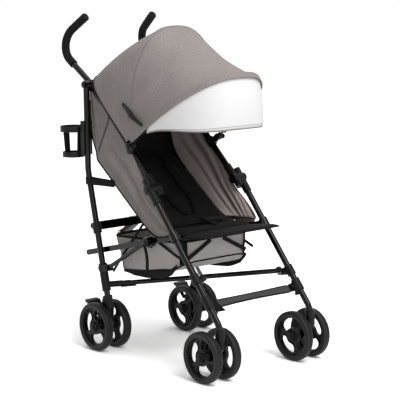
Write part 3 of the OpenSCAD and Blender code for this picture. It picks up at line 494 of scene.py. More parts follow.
def grid_mesh(name, rows, closed=False):
    """A sheet of quads through rows of points in millimetres, with a UV map in metres along itself."""
    grid = np.array(rows, float) * MM
    count, width = grid.shape[:2]
    middle = width // 2
    along = np.zeros((count, width))
    along[1:] = np.cumsum(np.linalg.norm(np.diff(grid, axis=0), axis=2), axis=0)
    across = np.zeros((count, width))
    across[:, 1:] = np.cumsum(np.linalg.norm(np.diff(grid, axis=1), axis=2), axis=1)
    flat_u = (across - across[:, middle : middle + 1]).reshape(-1)
    flat_v = np.repeat(along[:, middle], width)
    faces = []
    for i in range(count - 1):
        for j in range(width if closed else width - 1):
            k = (j + 1) % width
            faces.append((i * width + j, i * width + k, (i + 1) * width + k, (i + 1) * width + j))
    mesh = bpy.data.meshes.new(name)
    mesh.from_pydata(grid.reshape(-1, 3).tolist(), [], faces)
    layer = mesh.uv_layers.new(name="cloth")
    for loop in mesh.loops:
        layer.data[loop.index].uv = (flat_u[loop.vertex_index], flat_v[loop.vertex_index])
    mesh.shade_smooth()
    return mesh


def apply_modifiers(piece):
    """Turns a piece's live modifiers into its plain mesh."""
    mesh = plain_mesh(piece)
    piece.modifiers.clear()
    old = piece.data
    piece.data = mesh
    bpy.data.meshes.remove(old)


def cloth_piece(name, rows, material, thick_mm, crease_shades=None, closed=False):
    """A sheet of cloth with thickness, and its area in square metres before it was thickened."""
    mesh = grid_mesh(name, rows, closed)
    area = sum(face.area for face in mesh.polygons)
    mesh.materials.append(material)
    # Painted shade for the creases is carried on the sheet as a point attribute.
    if crease_shades:
        mesh.attributes.new("crease_shade", "FLOAT", "POINT").data.foreach_set("value", crease_shades)
    piece = new_object(name, mesh)
    wall = piece.modifiers.new("thickness", "SOLIDIFY")
    wall.thickness = thick_mm * MM
    wall.offset = 0.0
    apply_modifiers(piece)
    return piece, area


def settle(piece, body, node=None):
    """Ties a soft piece to a body, and hides the solid that it stands for."""
    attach(piece, body)
    if node:
        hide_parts(node)
    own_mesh(piece)


# Heather canvas is a warm grey of light and dark yarns, with no gloss. Near black is painted into its tucks
# as painted shade.
# Threads are about 0.8 mm apart; they are drawn at 1.5 mm, and flecks at 3.4, so that they show.
heather_canvas = woven_cloth(
    "heather_canvas", "#665f5c", "#c0b7b4", 1.509, 3.4, 0.92, 0.1, crease_shade="#2b2523")
# The lining is black with a faint shine where it swells, and the binding tape is blacker and duller.
lining_black = woven_cloth("black_polyester_lining", "#0f0f0f", "#1d1d1d", 1.509, 3.0, 0.62, 0.02)
binding_tape = woven_cloth("black_binding_tape", "#070707", "#101011", 1.257, 2.0, 0.8, 0.05)
# Piping is a plain grey cord that catches the light as a thin pale line.
grey_piping = woven_cloth("grey_piping_cord", "#7f7976", "#a39d99", 1.006, 1.6, 0.8, 0.2)
CANVAS_T = 1.6
PANEL_X = 176.5
MID_HINGE = (-62, 545)
HANDLE_SLOPE = 1 / tan(radians(43.2))
SEAT_BITE = (-59.0, 394.0)
BACK_KNEE = (219.0, 611.0)
HEAD_TOP = (232.0, 768.0)
SEAT_FRONT = -164.0
HEAD_LOW = 560
BASE_X = 162


def handle_y(z):
    """Where the handle tube's middle line is at a height."""
    return MID_HINGE[0] + (z - MID_HINGE[1]) * HANDLE_SLOPE


def walk(points, count, rounds=3):
    """Evenly spaced points along a line through the given ones, with its corners cut a few times."""
    line = np.array(points, float)
    for _ in range(rounds):
        cut = np.empty((2 * len(line), line.shape[1]))
        cut[0] = line[0]
        cut[-1] = line[-1]
        cut[1:-1:2] = 0.75 * line[:-1] + 0.25 * line[1:]
        cut[2::2] = 0.25 * line[:-1] + 0.75 * line[1:]
        line = cut
    steps = np.concatenate([[0], np.cumsum(np.linalg.norm(np.diff(line, axis=0), axis=1))])
    wanted = np.linspace(0, steps[-1], count)
    return np.stack([np.interp(wanted, steps, line[:, k]) for k in range(line.shape[1])], axis=1)


def close_ends(mesh):
    """Fills a tube's open ends and points its faces outwards."""
    shape = bmesh.new()
    shape.from_mesh(mesh)
    bmesh.ops.holes_fill(shape, edges=[e for e in shape.edges if e.is_boundary], sides=0)
    bmesh.ops.recalc_face_normals(shape, faces=shape.faces)
    shape.to_mesh(mesh)
    shape.free()
    mesh.shade_smooth()


def swept_cord(name, points, radius_mm, material, sides=8):
    """A sewn-in cord or rolled edge: a closed tube along points in millimetres, with its own UV map."""
    line = np.array(points, float)
    last = len(line) - 1
    rings = []
    for i in range(len(line)):
        ahead = Vector(line[min(i + 1, last)] - line[max(i - 1, 0)]).normalized()
        lean = ahead.orthogonal() if i == 0 else lean - ahead * lean.dot(ahead)
        lean.normalize()
        other = ahead.cross(lean)
        radius = radius_mm * (0.3 if i in (0, last) else 1.0)
        turns = [tau * k / sides for k in range(sides)]
        rings.append([line[i] + radius * np.array(lean * cos(a) + other * sin(a)) for a in turns])
    mesh = grid_mesh(name, rings, closed=True)
    mesh.materials.append(material)
    close_ends(mesh)
    return new_object(name, mesh)


PANEL_COLS, PANEL_ROWS = 110, 24
panel_low = walk([(-136, 409), (-120, 404), SEAT_BITE, (60, 487), (203, 598.5), BACK_KNEE, (226, 630),
                  (248, 676), (258, 740), (258, 824)], PANEL_COLS, 2)
panel_high = walk([(-146, 424), (-144, 434), (-104, 474), (-44, 518), (-20, 556), (10, 600), (24, 628),
                   (handle_y(702) - 6, 702), (handle_y(816) - 6, 816)], PANEL_COLS)
# Each fold is given by its place across the panel, its width and how far it stands out.
FOLDS = ((0.16, 0.05, 8.0), (0.36, 0.06, -7.0), (0.56, 0.055, 9.0), (0.78, 0.05, -6.0))
# A tuck runs from the handle tube down to the rear corner, and the cloth behind it lies further in.
TUCK_TOP = np.array((157.0, 742.0))
TUCK_FOOT = np.array((215.0, 638.0))
TUCK_STEP = 5.0
TUCK_SOFT = 4.5
TUCK_CALM = 7.0
tuck_run = TUCK_FOOT - TUCK_TOP
tuck_across = np.array((-tuck_run[1], tuck_run[0])) / np.linalg.norm(tuck_run)


def ruled_sheet(low, high, count, place):
    """Rows of points between two edge lines, and the painted crease shade at each, both as a function places
    them.
    """
    rows, crease_shades = [], []
    for u, a, b in zip(np.linspace(0, 1, len(low)), low, high):
        made = [place(u, v, *(a * (1 - v) + b * v)) for v in np.linspace(0, 1, count)]
        rows.append([point for point, _ in made])
        crease_shades += [crease_shade for _, crease_shade in made]
    return rows, crease_shades


def folds_at(across, folds):
    """What the folds of a cloth add up to at a place across it."""
    return sum(height * exp(-(((across - at) / width) ** 2)) for at, width, height in folds)


def panel_place(u, v, y, z):
    """A point of a side panel, drawn in by its folds and its tuck, and how much painted shade its tuck gets
    there.
    """
    behind = ((y, z) - TUCK_TOP) @ tuck_across / TUCK_SOFT
    tucked = TUCK_STEP * min(1, 4 * (1 - v)) / (1 + exp(-behind))
    calm = 1 - exp(-((behind / TUCK_CALM) ** 2))
    rise = folds_at(v - 0.04 * sin(5 * u), FOLDS) * sin(pi * u) ** 0.7 * sin(pi * v) ** 0.5
    return (PANEL_X - calm * rise - tucked, y, z), exp(-behind * behind)


def on_side(s, points):
    """Points that are given for the left side, on the side that is asked for."""
    return [(s * x, y, z) for x, y, z in points]


panel_rows, panel_crease_shades = ruled_sheet(panel_low, panel_high, PANEL_ROWS, panel_place)
for side, s in SIDES.items():
    rows = [on_side(s, row) for row in panel_rows]
    panel, area = cloth_piece(f"side_panel_{side}", rows, heather_canvas, CANVAS_T, panel_crease_shades)
    settle(panel, "centre", "seat_sling")
    inner = [(x + s * 1.2, y, z) for x, y, z in (row[2] for row in rows[3:-5])]
    trim = [
        swept_cord(f"panel_binding_{side}", [row[0] for row in rows[:-4]], 3.0, binding_tape),
        swept_cord(f"panel_piping_{side}", inner, 1.7, grey_piping),
    ]
    for piece in trim:
        settle(piece, "centre")

BACK_COLS, BACK_ROWS = 40, 44
BACK_SAG = 5


def back_rows(front_mm):
    """Rows of the seat's back and head cloth, sagging a little between its edges."""
    line = walk([SEAT_BITE, (80, 502.5), BACK_KNEE, (227, 690), HEAD_TOP], BACK_ROWS)
    rows = []
    for i, (y, z) in enumerate(line):
        row = []
        for x in np.linspace(-1, 1, BACK_COLS):
            sag = BACK_SAG * (1 - x * x) * sin(pi * i / (BACK_ROWS - 1))
            row.append((x * (PANEL_X - 1), y + 0.6 * (sag - front_mm), z - 0.6 * sag + 0.8 * front_mm))
        rows.append(row)
    return rows


base_line = walk([(SEAT_FRONT, 401), (-120, 397.5), (-80, 396), SEAT_BITE], 12)
base_rows = [[(x * BASE_X, y, z - 2 * (1 - x * x)) for x in np.linspace(-1, 1, 24)] for y, z in base_line]
# Painted shade: a black sheet over the top of the back, where the canopy's shade falls.
head_rows = [[(x * 0.97, y, z) for x, y, z in row] for row in back_rows(6) if row[0][2] > HEAD_LOW]
for name, rows, material, thick, flat, slot in (
    ("seat_back_cloth", back_rows(0), heather_canvas, CANVAS_T, (0.352, 0.512), "grey_fabric"),
    ("seat_base_cloth", base_rows, lining_black, CANVAS_T, (0.324, 0.106), "black_fabric"),
    ("head_liner_painted_shade", head_rows, lining_black, 2.4, (0.342, 0.232), "black_fabric"),
):
    piece, area = cloth_piece(name, rows, material, thick)
    settle(piece, "centre", "seat_sling")

# Wings. On each side a loose sheet of the canvas runs from beside the back pad out to the tube.
# It is gathered and sewn down at the lap, so its folds fan out towards the head.
# The canvas shows its reverse here: a browner grey, painted lighter than the seat's canvas to stand in for
# light inside the seat, and with painted shade, nearly black, in its creases.
canvas_reverse_painted_lit = woven_cloth(
    "heather_canvas_reverse_painted_lit", "#7d706c", "#d6c8c3", 1.509, 3.0, 0.9, 0.1, crease_shade="#1c1614")
WING_X, WING_SPREAD = 122, 50
WING_GATHER = 0.5
WING_LIFT = 17.0
# Each crease is given by its place across the wing, its width and its share of the full depth.
WING_CREASES = ((0.08, 0.07, 0.55), (0.46, 0.1, 1.0), (0.76, 0.06, 0.9), (1.02, 0.06, 0.7))
WING_COLS, WING_ROWS = 56, 30
wing_in = walk([(-62, 428), (-20, 446), (90, 532), (190, 612), (212, 690), (214, 752)], WING_COLS, 2)
wing_out = walk([(-140, 424), (-100, 474), (-42, 520), (-18, 556), (12, 600), (26, 628),
                 (handle_y(702) - 3, 702), (handle_y(770) - 3, 770)], WING_COLS)


def wing_place(u, v, y, z):
    """A point of a wing, lifted between its creases, and how much painted shade a crease gets there."""
    x = WING_X + WING_SPREAD * v ** 0.75
    arc = sin(pi * v)
    fan = 0.55 + 0.45 * u
    drawn = folds_at(WING_GATHER + (v - WING_GATHER - 0.16 * sin(pi * u)) / fan, WING_CREASES)
    lift = WING_LIFT * (1 - drawn) * (1 - u) ** 0.4 * min(1.0, 5 * u + 0.15) * arc ** 0.5
    return (x - 0.8 * lift, y - 0.3 * lift, z + 0.3 * lift), 0.85 * drawn * (1 - u) ** 0.3 * arc ** 0.4


wing_rows, wing_crease_shades = ruled_sheet(wing_in, wing_out, WING_ROWS, wing_place)
for side, s in SIDES.items():
    rows = [on_side(s, row) for row in wing_rows]
    wing, area = cloth_piece(f"seat_wing_{side}", rows, canvas_reverse_painted_lit, CANVAS_T, wing_crease_shades)
    settle(wing, "centre", "seat_sling")

# Seat pad, reclining back pad and leg rest. Black polyester over foam and fibre, with sewn channels.
# Each starts as a crowned form and is blown up a little as cloth, and the sewn lines draw it in.
PAD_X = 146.0
BACK_X = 124.0
PRESSURE = 3.0
SWELL_STEPS = 15


def channel_pull(v, channels):
    """How hard the nearest sewn channel holds the cover at a share of the length, from 0 to 1."""
    return abs(cos(pi * channels * v)) ** 14


def pad_rows(half_w, length, thick, channels, cols=44, rows=56):
    """Rows of a closed cushion form that lies on Z = 0, as one ring of points for each step along it."""
    made = []
    for j in range(rows + 1):
        v = j / rows
        end = max(0.0, 1 - abs(2 * v - 1) ** 6) ** 0.5
        channel = 1 - 0.34 * channel_pull(v, channels)
        half = half_w * (1 - 0.014 * sin(pi * v)) * (0.93 + 0.07 * end)
        ring = []
        for k in range(2 * cols):
            a = tau * k / (2 * cols)
            across = copysign(abs(cos(a)) ** 0.35, cos(a))
            up = sin(a)
            crown = (1 - abs(across) ** 5) ** 0.5
            if up >= 0:
                z = thick * (0.42 + 0.58 * crown * end * channel) * abs(up) ** 0.35
            else:
                z = 0.12 * thick * (1 - abs(up) ** 0.35)
            ring.append((half * across, v * length, z))
        made.append(ring)
    return made


def swell(piece, cap_mm, channels, length):
    """Runs pressure cloth on a piece's own mesh, and keeps each point within a cap of where it began."""
    before = np.array([v.co for v in piece.data.vertices])
    seams = piece.vertex_groups.new(name="seams")
    for vertex in piece.data.vertices:
        lies_flat = vertex.co.z < 0.5 * MM
        held = 1.0 if lies_flat else channel_pull(vertex.co.y / (length * MM), channels)
        seams.add([vertex.index], held, "REPLACE")
    cloth = piece.modifiers.new("cloth", "CLOTH")
    cloth.settings.use_pressure = True
    cloth.settings.uniform_pressure_force = PRESSURE
    cloth.settings.effector_weights.gravity = 0.0
    cloth.settings.vertex_group_mass = "seams"
    cloth.settings.quality = 4
    scene = bpy.context.scene
    for step in range(1, SWELL_STEPS + 1):
        scene.frame_set(step)
    evaluated = piece.evaluated_get(bpy.context.evaluated_depsgraph_get())
    move = np.array([v.co for v in evaluated.data.vertices]) - before
    piece.modifiers.clear()
    piece.vertex_groups.clear()
    scene.frame_set(1)
    size = np.linalg.norm(move, axis=1, keepdims=True)
    kept = before + move * np.minimum(1.0, cap_mm * MM / np.maximum(size, 1e-9))
    kept[:, 2] = np.maximum(kept[:, 2], 0.0)
    piece.data.vertices.foreach_set("co", kept.reshape(-1))
    piece.data.update()


def pad(name, half_w, length, thick, channels, place, tilt_deg, cap_mm, shift=0):
    mesh = grid_mesh(name, pad_rows(half_w, length, thick, channels), closed=True)
    mesh.materials.append(lining_black)
    close_ends(mesh)
    piece = new_object(name, mesh)
    swell(piece, cap_mm, channels, length)
    turn = Matrix.Translation(Vector(place) * MM) @ Matrix.Rotation(radians(tilt_deg), 4, "X")
    piece.data.transform(turn @ Matrix.Translation((0, shift * MM, 0)))
    return piece


back_rise = atan2(BACK_KNEE[1] - SEAT_BITE[1], BACK_KNEE[0] - SEAT_BITE[0])


def on_back(x, along, lift):
    """A point so far along the back pad and above the cloth that it lies on, in millimetres."""
    return (x, SEAT_BITE[0] + 11 + along * cos(back_rise) - lift * sin(back_rise),
            SEAT_BITE[1] + 9 + along * sin(back_rise) + lift * cos(back_rise))


for piece, body, node in (
    (pad("seat_cushion", PAD_X, 92, 22, 2, (0, SEAT_FRONT + 2, 403.6), -3, 4), "centre", "seat_pad"),
    (pad("back_cushion", BACK_X, 318, 20, 4, on_back(0, 0, 4), degrees(back_rise), 5),
     "backrest", "backrest_pad"),
    (pad("leg_rest_cushion", PAD_X + 16, 112, 16, 1, (0, SEAT_FRONT - 2, 399), -8, 4, shift=-112),
     "leg_rest", "leg_rest"),
):
    settle(piece, body, node)

# Harness. Shoulder straps with pads, lap straps and a crotch strap, sewn to the sling's back and base.
# They meet at a moulded buckle. Woven nylon webbing is a dense black with a slight shine along its ribs.
webbing = woven_cloth("nylon_webbing", "#0a0a0b", "#141415", 1.132, 1.8, 0.6, 0.02)
STRAP_W, STRAP_T = 24, 1.8
ACROSS = (1, 0, 0)


def strap(name, points, way, width_mm, thick_mm=2.0, material=webbing):
    """Flat webbing along points in millimetres, so wide along a given way."""
    side_way = np.array(Vector(way).normalized())
    rows = [[p + side_way * width_mm * t for t in (-0.5, -0.25, 0.0, 0.25, 0.5)] for p in walk(points, 28)]
    return cloth_piece(name, rows, material, thick_mm)[0]


lap_pieces = []
for side, s in SIDES.items():
    belt = [on_back(s * x, along, lift) for x, along, lift in (
        (50, 300, 25), (50, 220, 28), (46, 120, 28.5), (34, 64, 27), (16, 34, 31))]
    padding = [on_back(s * x, along, lift) for x, along, lift in (
        (50, 262, 29.5), (49, 200, 31.5), (46, 130, 31.5))]
    for piece in (
        strap(f"shoulder_strap_{side}", belt, ACROSS, STRAP_W, STRAP_T),
        strap(f"shoulder_pad_{side}", padding, ACROSS, 40, 4.5, lining_black),
    ):
        settle(piece, "backrest", "harness")
    lap_line = on_side(s, [(132, -78, 424), (96, -92, 431), (50, -104, 434), (18, -106, 436)])
    lap_pieces.append(strap(f"lap_strap_{side}", lap_line, (0, 0.97, 0.24), STRAP_W, STRAP_T))
crotch_line = [(0, -150, 427), (0, -138, 431), (0, -122, 436)]
lap_pieces.append(strap("crotch_strap", crotch_line, ACROSS, STRAP_W, STRAP_T))
BUCKLE_W, BUCKLE_L, BUCKLE_T = 46, 44, 12
BUCKLE_AT = Vector((0, -106, 438))
shape = bmesh.new()
bmesh.ops.create_cube(shape, size=1.0)
bmesh.ops.subdivide_edges(shape, edges=shape.edges, cuts=2, use_grid_fill=True)
for vertex in shape.verts:
    x, y, z = vertex.co
    pinch = 1 - 0.22 * abs(y * 2) ** 2
    thin = 1 - 0.3 * abs(x * 2)
    vertex.co = (Vector((x * BUCKLE_W * pinch, y * BUCKLE_L, z * BUCKLE_T * thin)) + BUCKLE_AT) * MM
mesh = mesh_from("harness_buckle", shape, moulded_nylon)
mesh.shade_smooth()
buckle = new_object("harness_buckle", mesh)
rounding = buckle.modifiers.new("round", "SUBSURF")
rounding.levels = 2
rounding.render_levels = 2
apply_modifiers(buckle)
for piece in [*lap_pieces, buckle]:
    settle(piece, "centre")

# Recline straps. Webbing of the harness kind, sewn to the side panels' rear edges.
# Each loops round a rear leg and carries the seat's back, and gives as the leg swings in the fold.
LOOP_R = 13.5
LOOP_Z = 542
LOOP_W = 22
LOOP_LEG_Y = 246.6
for side, s in SIDES.items():
    loop = [(178.8, -118), (179, -80), (177, -20)]
    for k in range(9):
        a = radians(200 - 220 * k / 8)
        loop.append((LEG_X + LOOP_R * cos(a), LOOP_R * sin(a)))
    loop += [(198, -22), (187, -70), (181.5, -118)]
    line = on_side(s, [(x, LOOP_LEG_Y + y, LOOP_Z) for x, y in loop])
    band = strap(f"recline_strap_{side}", line, (0, 0, 1), LOOP_W)
    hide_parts("recline_straps")
    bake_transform(band)

# Basket. A canvas tub under the seat, bound in black and hung from the side rails by webbing loops.
# Ties brace its corners, and a stiff board in a sleeve makes its floor.
# The canvas is a pale grey that the seat's shadow darkens, lighter than the seat's own cloth.
basket_canvas = woven_cloth("light_grey_canvas", "#9c9794", "#e0dad6", 1.509, 3.4, 0.9, 0.1)
BASKET_X = 150.0
BASKET_FRONT, BASKET_REAR = -152.0, 196.0
BASKET_RIM = (386.0, 366.0)
BASKET_LEVELS = 14
CORNER_POWER = 0.32
# The floor drops steeply behind the front panel, then runs down gently to the back.
FLOOR_Y = (-152.0, -105.0, -60.0, 15.0, 182.0)
FLOOR_Z = (320.0, 289.0, 283.0, 268.0, 247.0)
FLOOR_MIDDLE = 22


def floor_z(y):
    """Height of the basket's floor."""
    return float(np.interp(y, FLOOR_Y, FLOOR_Z))


def basket_ring(level, count=72):
    """One ring of the basket, from the floor at 0 to the rim at 1: a round-cornered box that sags."""
    ring = []
    low = 1 - level
    bulge = sin(pi * level)
    for k in range(count):
        a = tau * k / count
        x, y = (copysign(abs(c) ** CORNER_POWER, c) for c in (cos(a), sin(a)))
        rear = (y + 1) / 2
        wrinkle = 1.4 * sin(9 * a + 5 * level) * bulge
        half = BASKET_X + wrinkle - (3 + 12 * rear) * low - 5 * bulge * (1 - abs(y) ** 3)
        reach = (BASKET_REAR - BASKET_FRONT) / 2 + wrinkle - (6 + 12 * rear) * low
        place = (BASKET_FRONT + BASKET_REAR) / 2 - 6 * low + y * reach
        sag = 5 * (1 - abs(y) ** 4) * (1 - abs(x) ** 8)
        rim = BASKET_RIM[0] + (BASKET_RIM[1] - BASKET_RIM[0]) * rear - sag
        floor = floor_z(place)
        ring.append((x * half, place, floor + (rim - floor) * level))
    return ring


side_rows = [basket_ring(level) for level in np.linspace(0, 1, BASKET_LEVELS)]
floor_line, rim_line = side_rows[0], side_rows[-1]
floor_rows = []
for t in np.linspace(0.02, 1, BASKET_LEVELS):
    row = [(x * t, FLOOR_MIDDLE + (y - FLOOR_MIDDLE) * t) for x, y, _ in floor_line]
    floor_rows.append([(x, y, floor_z(y)) for x, y in row])
tub, tub_area = cloth_piece(
    "basket_tub", [*floor_rows, *side_rows[1:]], basket_canvas, CANVAS_T, closed=True)
basket_trim = [
    swept_cord("basket_rim_binding", [*rim_line, rim_line[0]], 4.0, binding_tape),
    swept_cord("basket_floor_piping", [*floor_line, floor_line[0]], 2.8, binding_tape),
]


def up_the_tub(column, grow, forward=0.0):
    """A line up the tub's wall at one of its columns, set a little outside it."""
    return [(x * grow, y - forward, z) for x, y, z in (row[column] for row in side_rows)]


for k, column in enumerate((9, 27, 45, 63)):
    basket_trim.append(swept_cord(f"basket_corner_piping_{k}", up_the_tub(column, 1.004), 3.0, binding_tape))
for k, column in enumerate((0, 36)):
    basket_trim.append(strap(f"basket_side_band_{k}", up_the_tub(column, 1.012), (0, 1, 0), 13))
for k, (column, lean) in enumerate(((47, -0.87), (61, 0.87))):
    line = up_the_tub(column, 1.014, 1.5)
    basket_trim.append(strap(f"basket_front_band_{k}", line, (0.5, lean, 0), 24))
# One tie runs from the tub's rear corner up to the seat's back, and two short ones brace its front
# corner. Each has its line, the way its width lies, its width and its thickness.
TIES = {
    "rear": ([(150, 181, 248), (157, 120, 311), (158, 36, 400), (160, 0, 438)], (0, 0.728, 0.685), 9, 2.4),
    "side": ([(152.4, -54, 376), (152.4, -100, 358), (151, -158, 337)], (0, 0.366, -0.93), 9, 2.0),
    "front": ([(122, -155, 331), (70, -157, 358), (26, -156, 381)], (-0.473, 0, -0.881), 12, 2.0),
}
RAIL_FRONT = (-38, 378)
RAIL_FALL = 0.24375
LOOPS_Y = (-8.0, 96.0)
LOOP_TOP = 362
SLEEVE_FRONT, SLEEVE_REAR = -132, 138
for side, s in SIDES.items():
    for k, y in enumerate(LOOPS_Y):
        top = min(RAIL_FRONT[1] - RAIL_FALL * (y - RAIL_FRONT[0]), LOOP_TOP) + 2
        line = on_side(s, [(149, y, 352), (158, y, top), (168, y, top)])
        basket_trim.append(strap(f"basket_loop_{side}_{k}", line, (0, 1, 0), 24))
    for corner, (line, way, width, thick) in TIES.items():
        way = on_side(s, [way])[0]
        basket_trim.append(strap(f"basket_{corner}_tie_{side}", on_side(s, line), way, width, thick))
    # The sleeve's side shows below the tub, deepest near the front.
    sleeve_rows = []
    for y in np.linspace(SLEEVE_FRONT, SLEEVE_REAR, 32):
        ahead = (SLEEVE_REAR - y) / (SLEEVE_REAR - SLEEVE_FRONT)
        deep = 8 + (6 + 26 * ahead) * min(1.0, 3.2 * (1 - ahead) + 0.1, 5 * ahead)
        x = 144.5 - 6 * (1 - ahead)
        sleeve_rows.append([(s * x, y, floor_z(y) + 8 - deep * t) for t in np.linspace(0, 1, 6)])
    basket_trim.append(cloth_piece(f"basket_floor_sleeve_{side}", sleeve_rows, lining_black, 3.0)[0])
for piece in [tub, *basket_trim]:
    settle(piece, "centre", "basket")

# Footrest. A band of stiff webbing between clamps on the front legs, bound in black along its edges.
# A small gusset at each end ties it to the leg tube. The webbing is a dull mid grey with a coarse rib.
footrest_web = woven_cloth("grey_webbing", "#303031", "#5a5a5b", 1.257, 2.4, 0.7, 0.1)
FOOT_X, FOOT_Y, FOOT_Z = 154.5, -321.8, 224.0
FOOT_STEPS = 7
LEG_R = 11
LEG_RAKE = tan(radians(39.7))
foot_rows = []
for t in np.linspace(-1, 1, 41):
    bow = 1 - t * t
    lie = radians(40 + 20 * bow)
    y, z = FOOT_Y + 4 + 14 * bow, FOOT_Z - 3 * bow
    heights = np.linspace(-12, 12, FOOT_STEPS)
    foot_rows.append([(t * FOOT_X, y + h * sin(lie), z + h * cos(lie)) for h in heights])
footrest, area = cloth_piece("footrest_band", foot_rows, footrest_web, 3.2)
foot_trim = []
for k in (0, FOOT_STEPS - 1):
    foot_trim.append(swept_cord(f"footrest_edge_{k}", [row[k] for row in foot_rows], 2.6, binding_tape))
for side, s in SIDES.items():
    gusset_rows = []
    for v in np.linspace(0, 1, 9):
        z = FOOT_Z - 14 + 76 * v
        y = MID_HINGE[0] - (MID_HINGE[1] - z) * LEG_RAKE - LEG_R
        inner = 175 - 24 * (1 - v) ** 2.4 - 6 * (1 - v)
        gusset_rows.append([
            (s * (inner + (177 - inner) * u), y - 3 * (1 - u), z) for u in np.linspace(0, 1, 7)])
    gusset, area = cloth_piece(f"footrest_gusset_{side}", gusset_rows, webbing, 2.4)
    foot_trim.append(gusset)
for piece in [footrest, *foot_trim]:
    settle(piece, "centre", "footrest_strap")

# Canopy bows and levers. Flat springy rods and hinged levers, moulded in black and clipped to the tubes.
# They give with the cloth as the frame folds. Extruded rod is smoother than the joints but no glossier.
bow_plastic = hard_finish("bow_plastic", "#0e0e0f", "#171718", 0.45, 1.6, 0.08)
for node, body in (
    ("canopy_rear_bow", "centre"),
    ("canopy_front_bow", "canopy_front"),
    ("canopy_stretchers", "canopy_front"),
):
    merged = bmesh.new()
    merged.from_mesh(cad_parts[node].data)
    bmesh.ops.remove_doubles(merged, verts=merged.verts, dist=0.01 * MM)
    mesh = mesh_from(f"{node}_springy", merged, bow_plastic)
    smooth_faces(mesh)
    settle(new_object(f"{node}_springy", mesh), body, node)

# Canopy. Canvas sewn from a rear and a front panel, stretched over two bent bows and hemmed.
# A sun visor slides out from under the front hem, and a folding lever on each side tightens the cloth.
# The visor's coated cloth is a clean white with only the finest weave.
visor_white = woven_cloth("white_visor_cloth", "#e6e6e6", "#efefef", 1.509, 3.0, 0.75, 0.05)
CANOPY_AXIS = (34.0, 672.0)
CANOPY_X = 193.0
CANOPY_T = 1.8
REAR_EDGE, SEAM_BOW, FRONT_BOW, VISOR_REACH = 42.0, 90.0, 145.0, 24.0
REAR_R, SEAM_R, FRONT_R = 314.0, 363.0, 376.0
ARCH_POWER, REAR_POWER = 2.5, 5.5
ARCH_COLS = 72
ARCH_LOW, VISOR_LOW = 3.0, 16.0
VISOR_TUCK = 50.0
VISOR_FADE = 30.0
VISOR_ROWS = 16
REAR_SAG, FRONT_SAG = 22.0, 60.0
arch_steps = np.linspace(ARCH_LOW, 180 - ARCH_LOW, ARCH_COLS)
visor_steps = np.linspace(VISOR_LOW, 180 - VISOR_LOW, ARCH_COLS)


def arch_radius(angle):
    """Height of the canopy's arch over the pivot, straight between the bows."""
    return float(np.interp(angle, (REAR_EDGE, SEAM_BOW, FRONT_BOW), (REAR_R, SEAM_R, FRONT_R)))


def arch_point(angle, t, radius, half_w):
    """A point of the arch at an angle from the back horizontal, t degrees up from the right-hand pivot."""
    square = max(0.0, (SEAM_BOW - angle) / (SEAM_BOW - REAR_EDGE))
    n = ARCH_POWER + (REAR_POWER - ARCH_POWER) * square
    across, up = cos(radians(t)), sin(radians(t))
    reach = (abs(across) ** n + up ** n) ** (-1 / n)
    rise = radius * reach * up
    a = radians(angle)
    return (-half_w * reach * across, CANOPY_AXIS[0] + rise * cos(a), CANOPY_AXIS[1] + rise * sin(a))


def arch_line(angle, radius, half_w):
    """A line over the arch from the right side to the left."""
    return [arch_point(angle, t, radius, half_w) for t in arch_steps]


def gore_rows(low, high, count, sag_mm):
    """Rows of a canopy panel from one bow's angle to the next, pulled flat between them."""
    rows = []
    for f in np.linspace(0, 1, count):
        angle = low + (high - low) * f
        sag = sag_mm * sin(pi * f) ** 0.8
        rows.append(arch_line(angle, arch_radius(angle) - sag, CANOPY_X))
    return rows


# The visor is a crescent that is widest in the middle and runs out at the sides.
visor_rows = []
for f in np.linspace(0, 1, VISOR_ROWS):
    row = []
    for t in visor_steps:
        spread = VISOR_REACH * (1 - exp(-((min(t, 180 - t) / VISOR_FADE) ** 2)))
        angle = FRONT_BOW - 1.0 + (spread + 1.0) * f
        row.append(arch_point(angle, t, FRONT_R - 5 - VISOR_TUCK * f, CANOPY_X - 3))
    visor_rows.append(row)
rear_rows = gore_rows(REAR_EDGE, SEAM_BOW, 22, REAR_SAG)
front_rows = gore_rows(SEAM_BOW, FRONT_BOW, 26, FRONT_SAG)
# Spun thread is a pale dotted line beside each seam.
# Real stitches are about 3 mm apart; they are drawn at 6 mm so that they show.
stitch_thread = hard_finish("spun_polyester_thread", "#8d8885", "#aaa5a1", 0.8, 1.0, 0.05)
STITCH_MM = {"Radius": 0.5, "Half height": 1.9, "Spacing": 6.0}
stitches = bead_tree("stitches", STITCH_MM, 6, 4, False, stitch_thread)


def sew(name, line):
    """A row of stitches along points in millimetres, as one plain mesh."""
    mesh = bpy.data.meshes.new(name)
    mesh.from_pydata([Vector(p) * MM for p in line], [(i, i + 1) for i in range(len(line) - 1)], [])
    return bake_nodes(mesh, stitches, name)


SEAM_LINE = SEAM_BOW - 0.9
HEM_STEPS = (-2.6, -2.0, -1.0, 0, 0.3)
seam_line = arch_line(SEAM_LINE, arch_radius(SEAM_LINE) + 0.9, CANOPY_X + 0.9)
hem_line = arch_line(FRONT_BOW - 2.3, FRONT_R + 3.4, CANOPY_X + 2.6)
hem_rows = [arch_line(FRONT_BOW + step, FRONT_R + 1.6, CANOPY_X + 0.8) for step in HEM_STEPS]
rear_trim = [
    sew("canopy_rear_stitches", seam_line),
    swept_cord("canopy_seam_piping", rear_rows[-1], 1.8, heather_canvas),
    swept_cord("canopy_rear_binding", rear_rows[0], 2.4, binding_tape),
]
front_trim = [
    cloth_piece("canopy_front_hem", hem_rows, heather_canvas, 3.4)[0],
    sew("canopy_front_stitches", hem_line),
]
visor_trim = [
    swept_cord("visor_hem", visor_rows[-1], 2.2, grey_piping),
    swept_cord("visor_hem_seam", visor_rows[-2], 1.1, grey_piping),
]
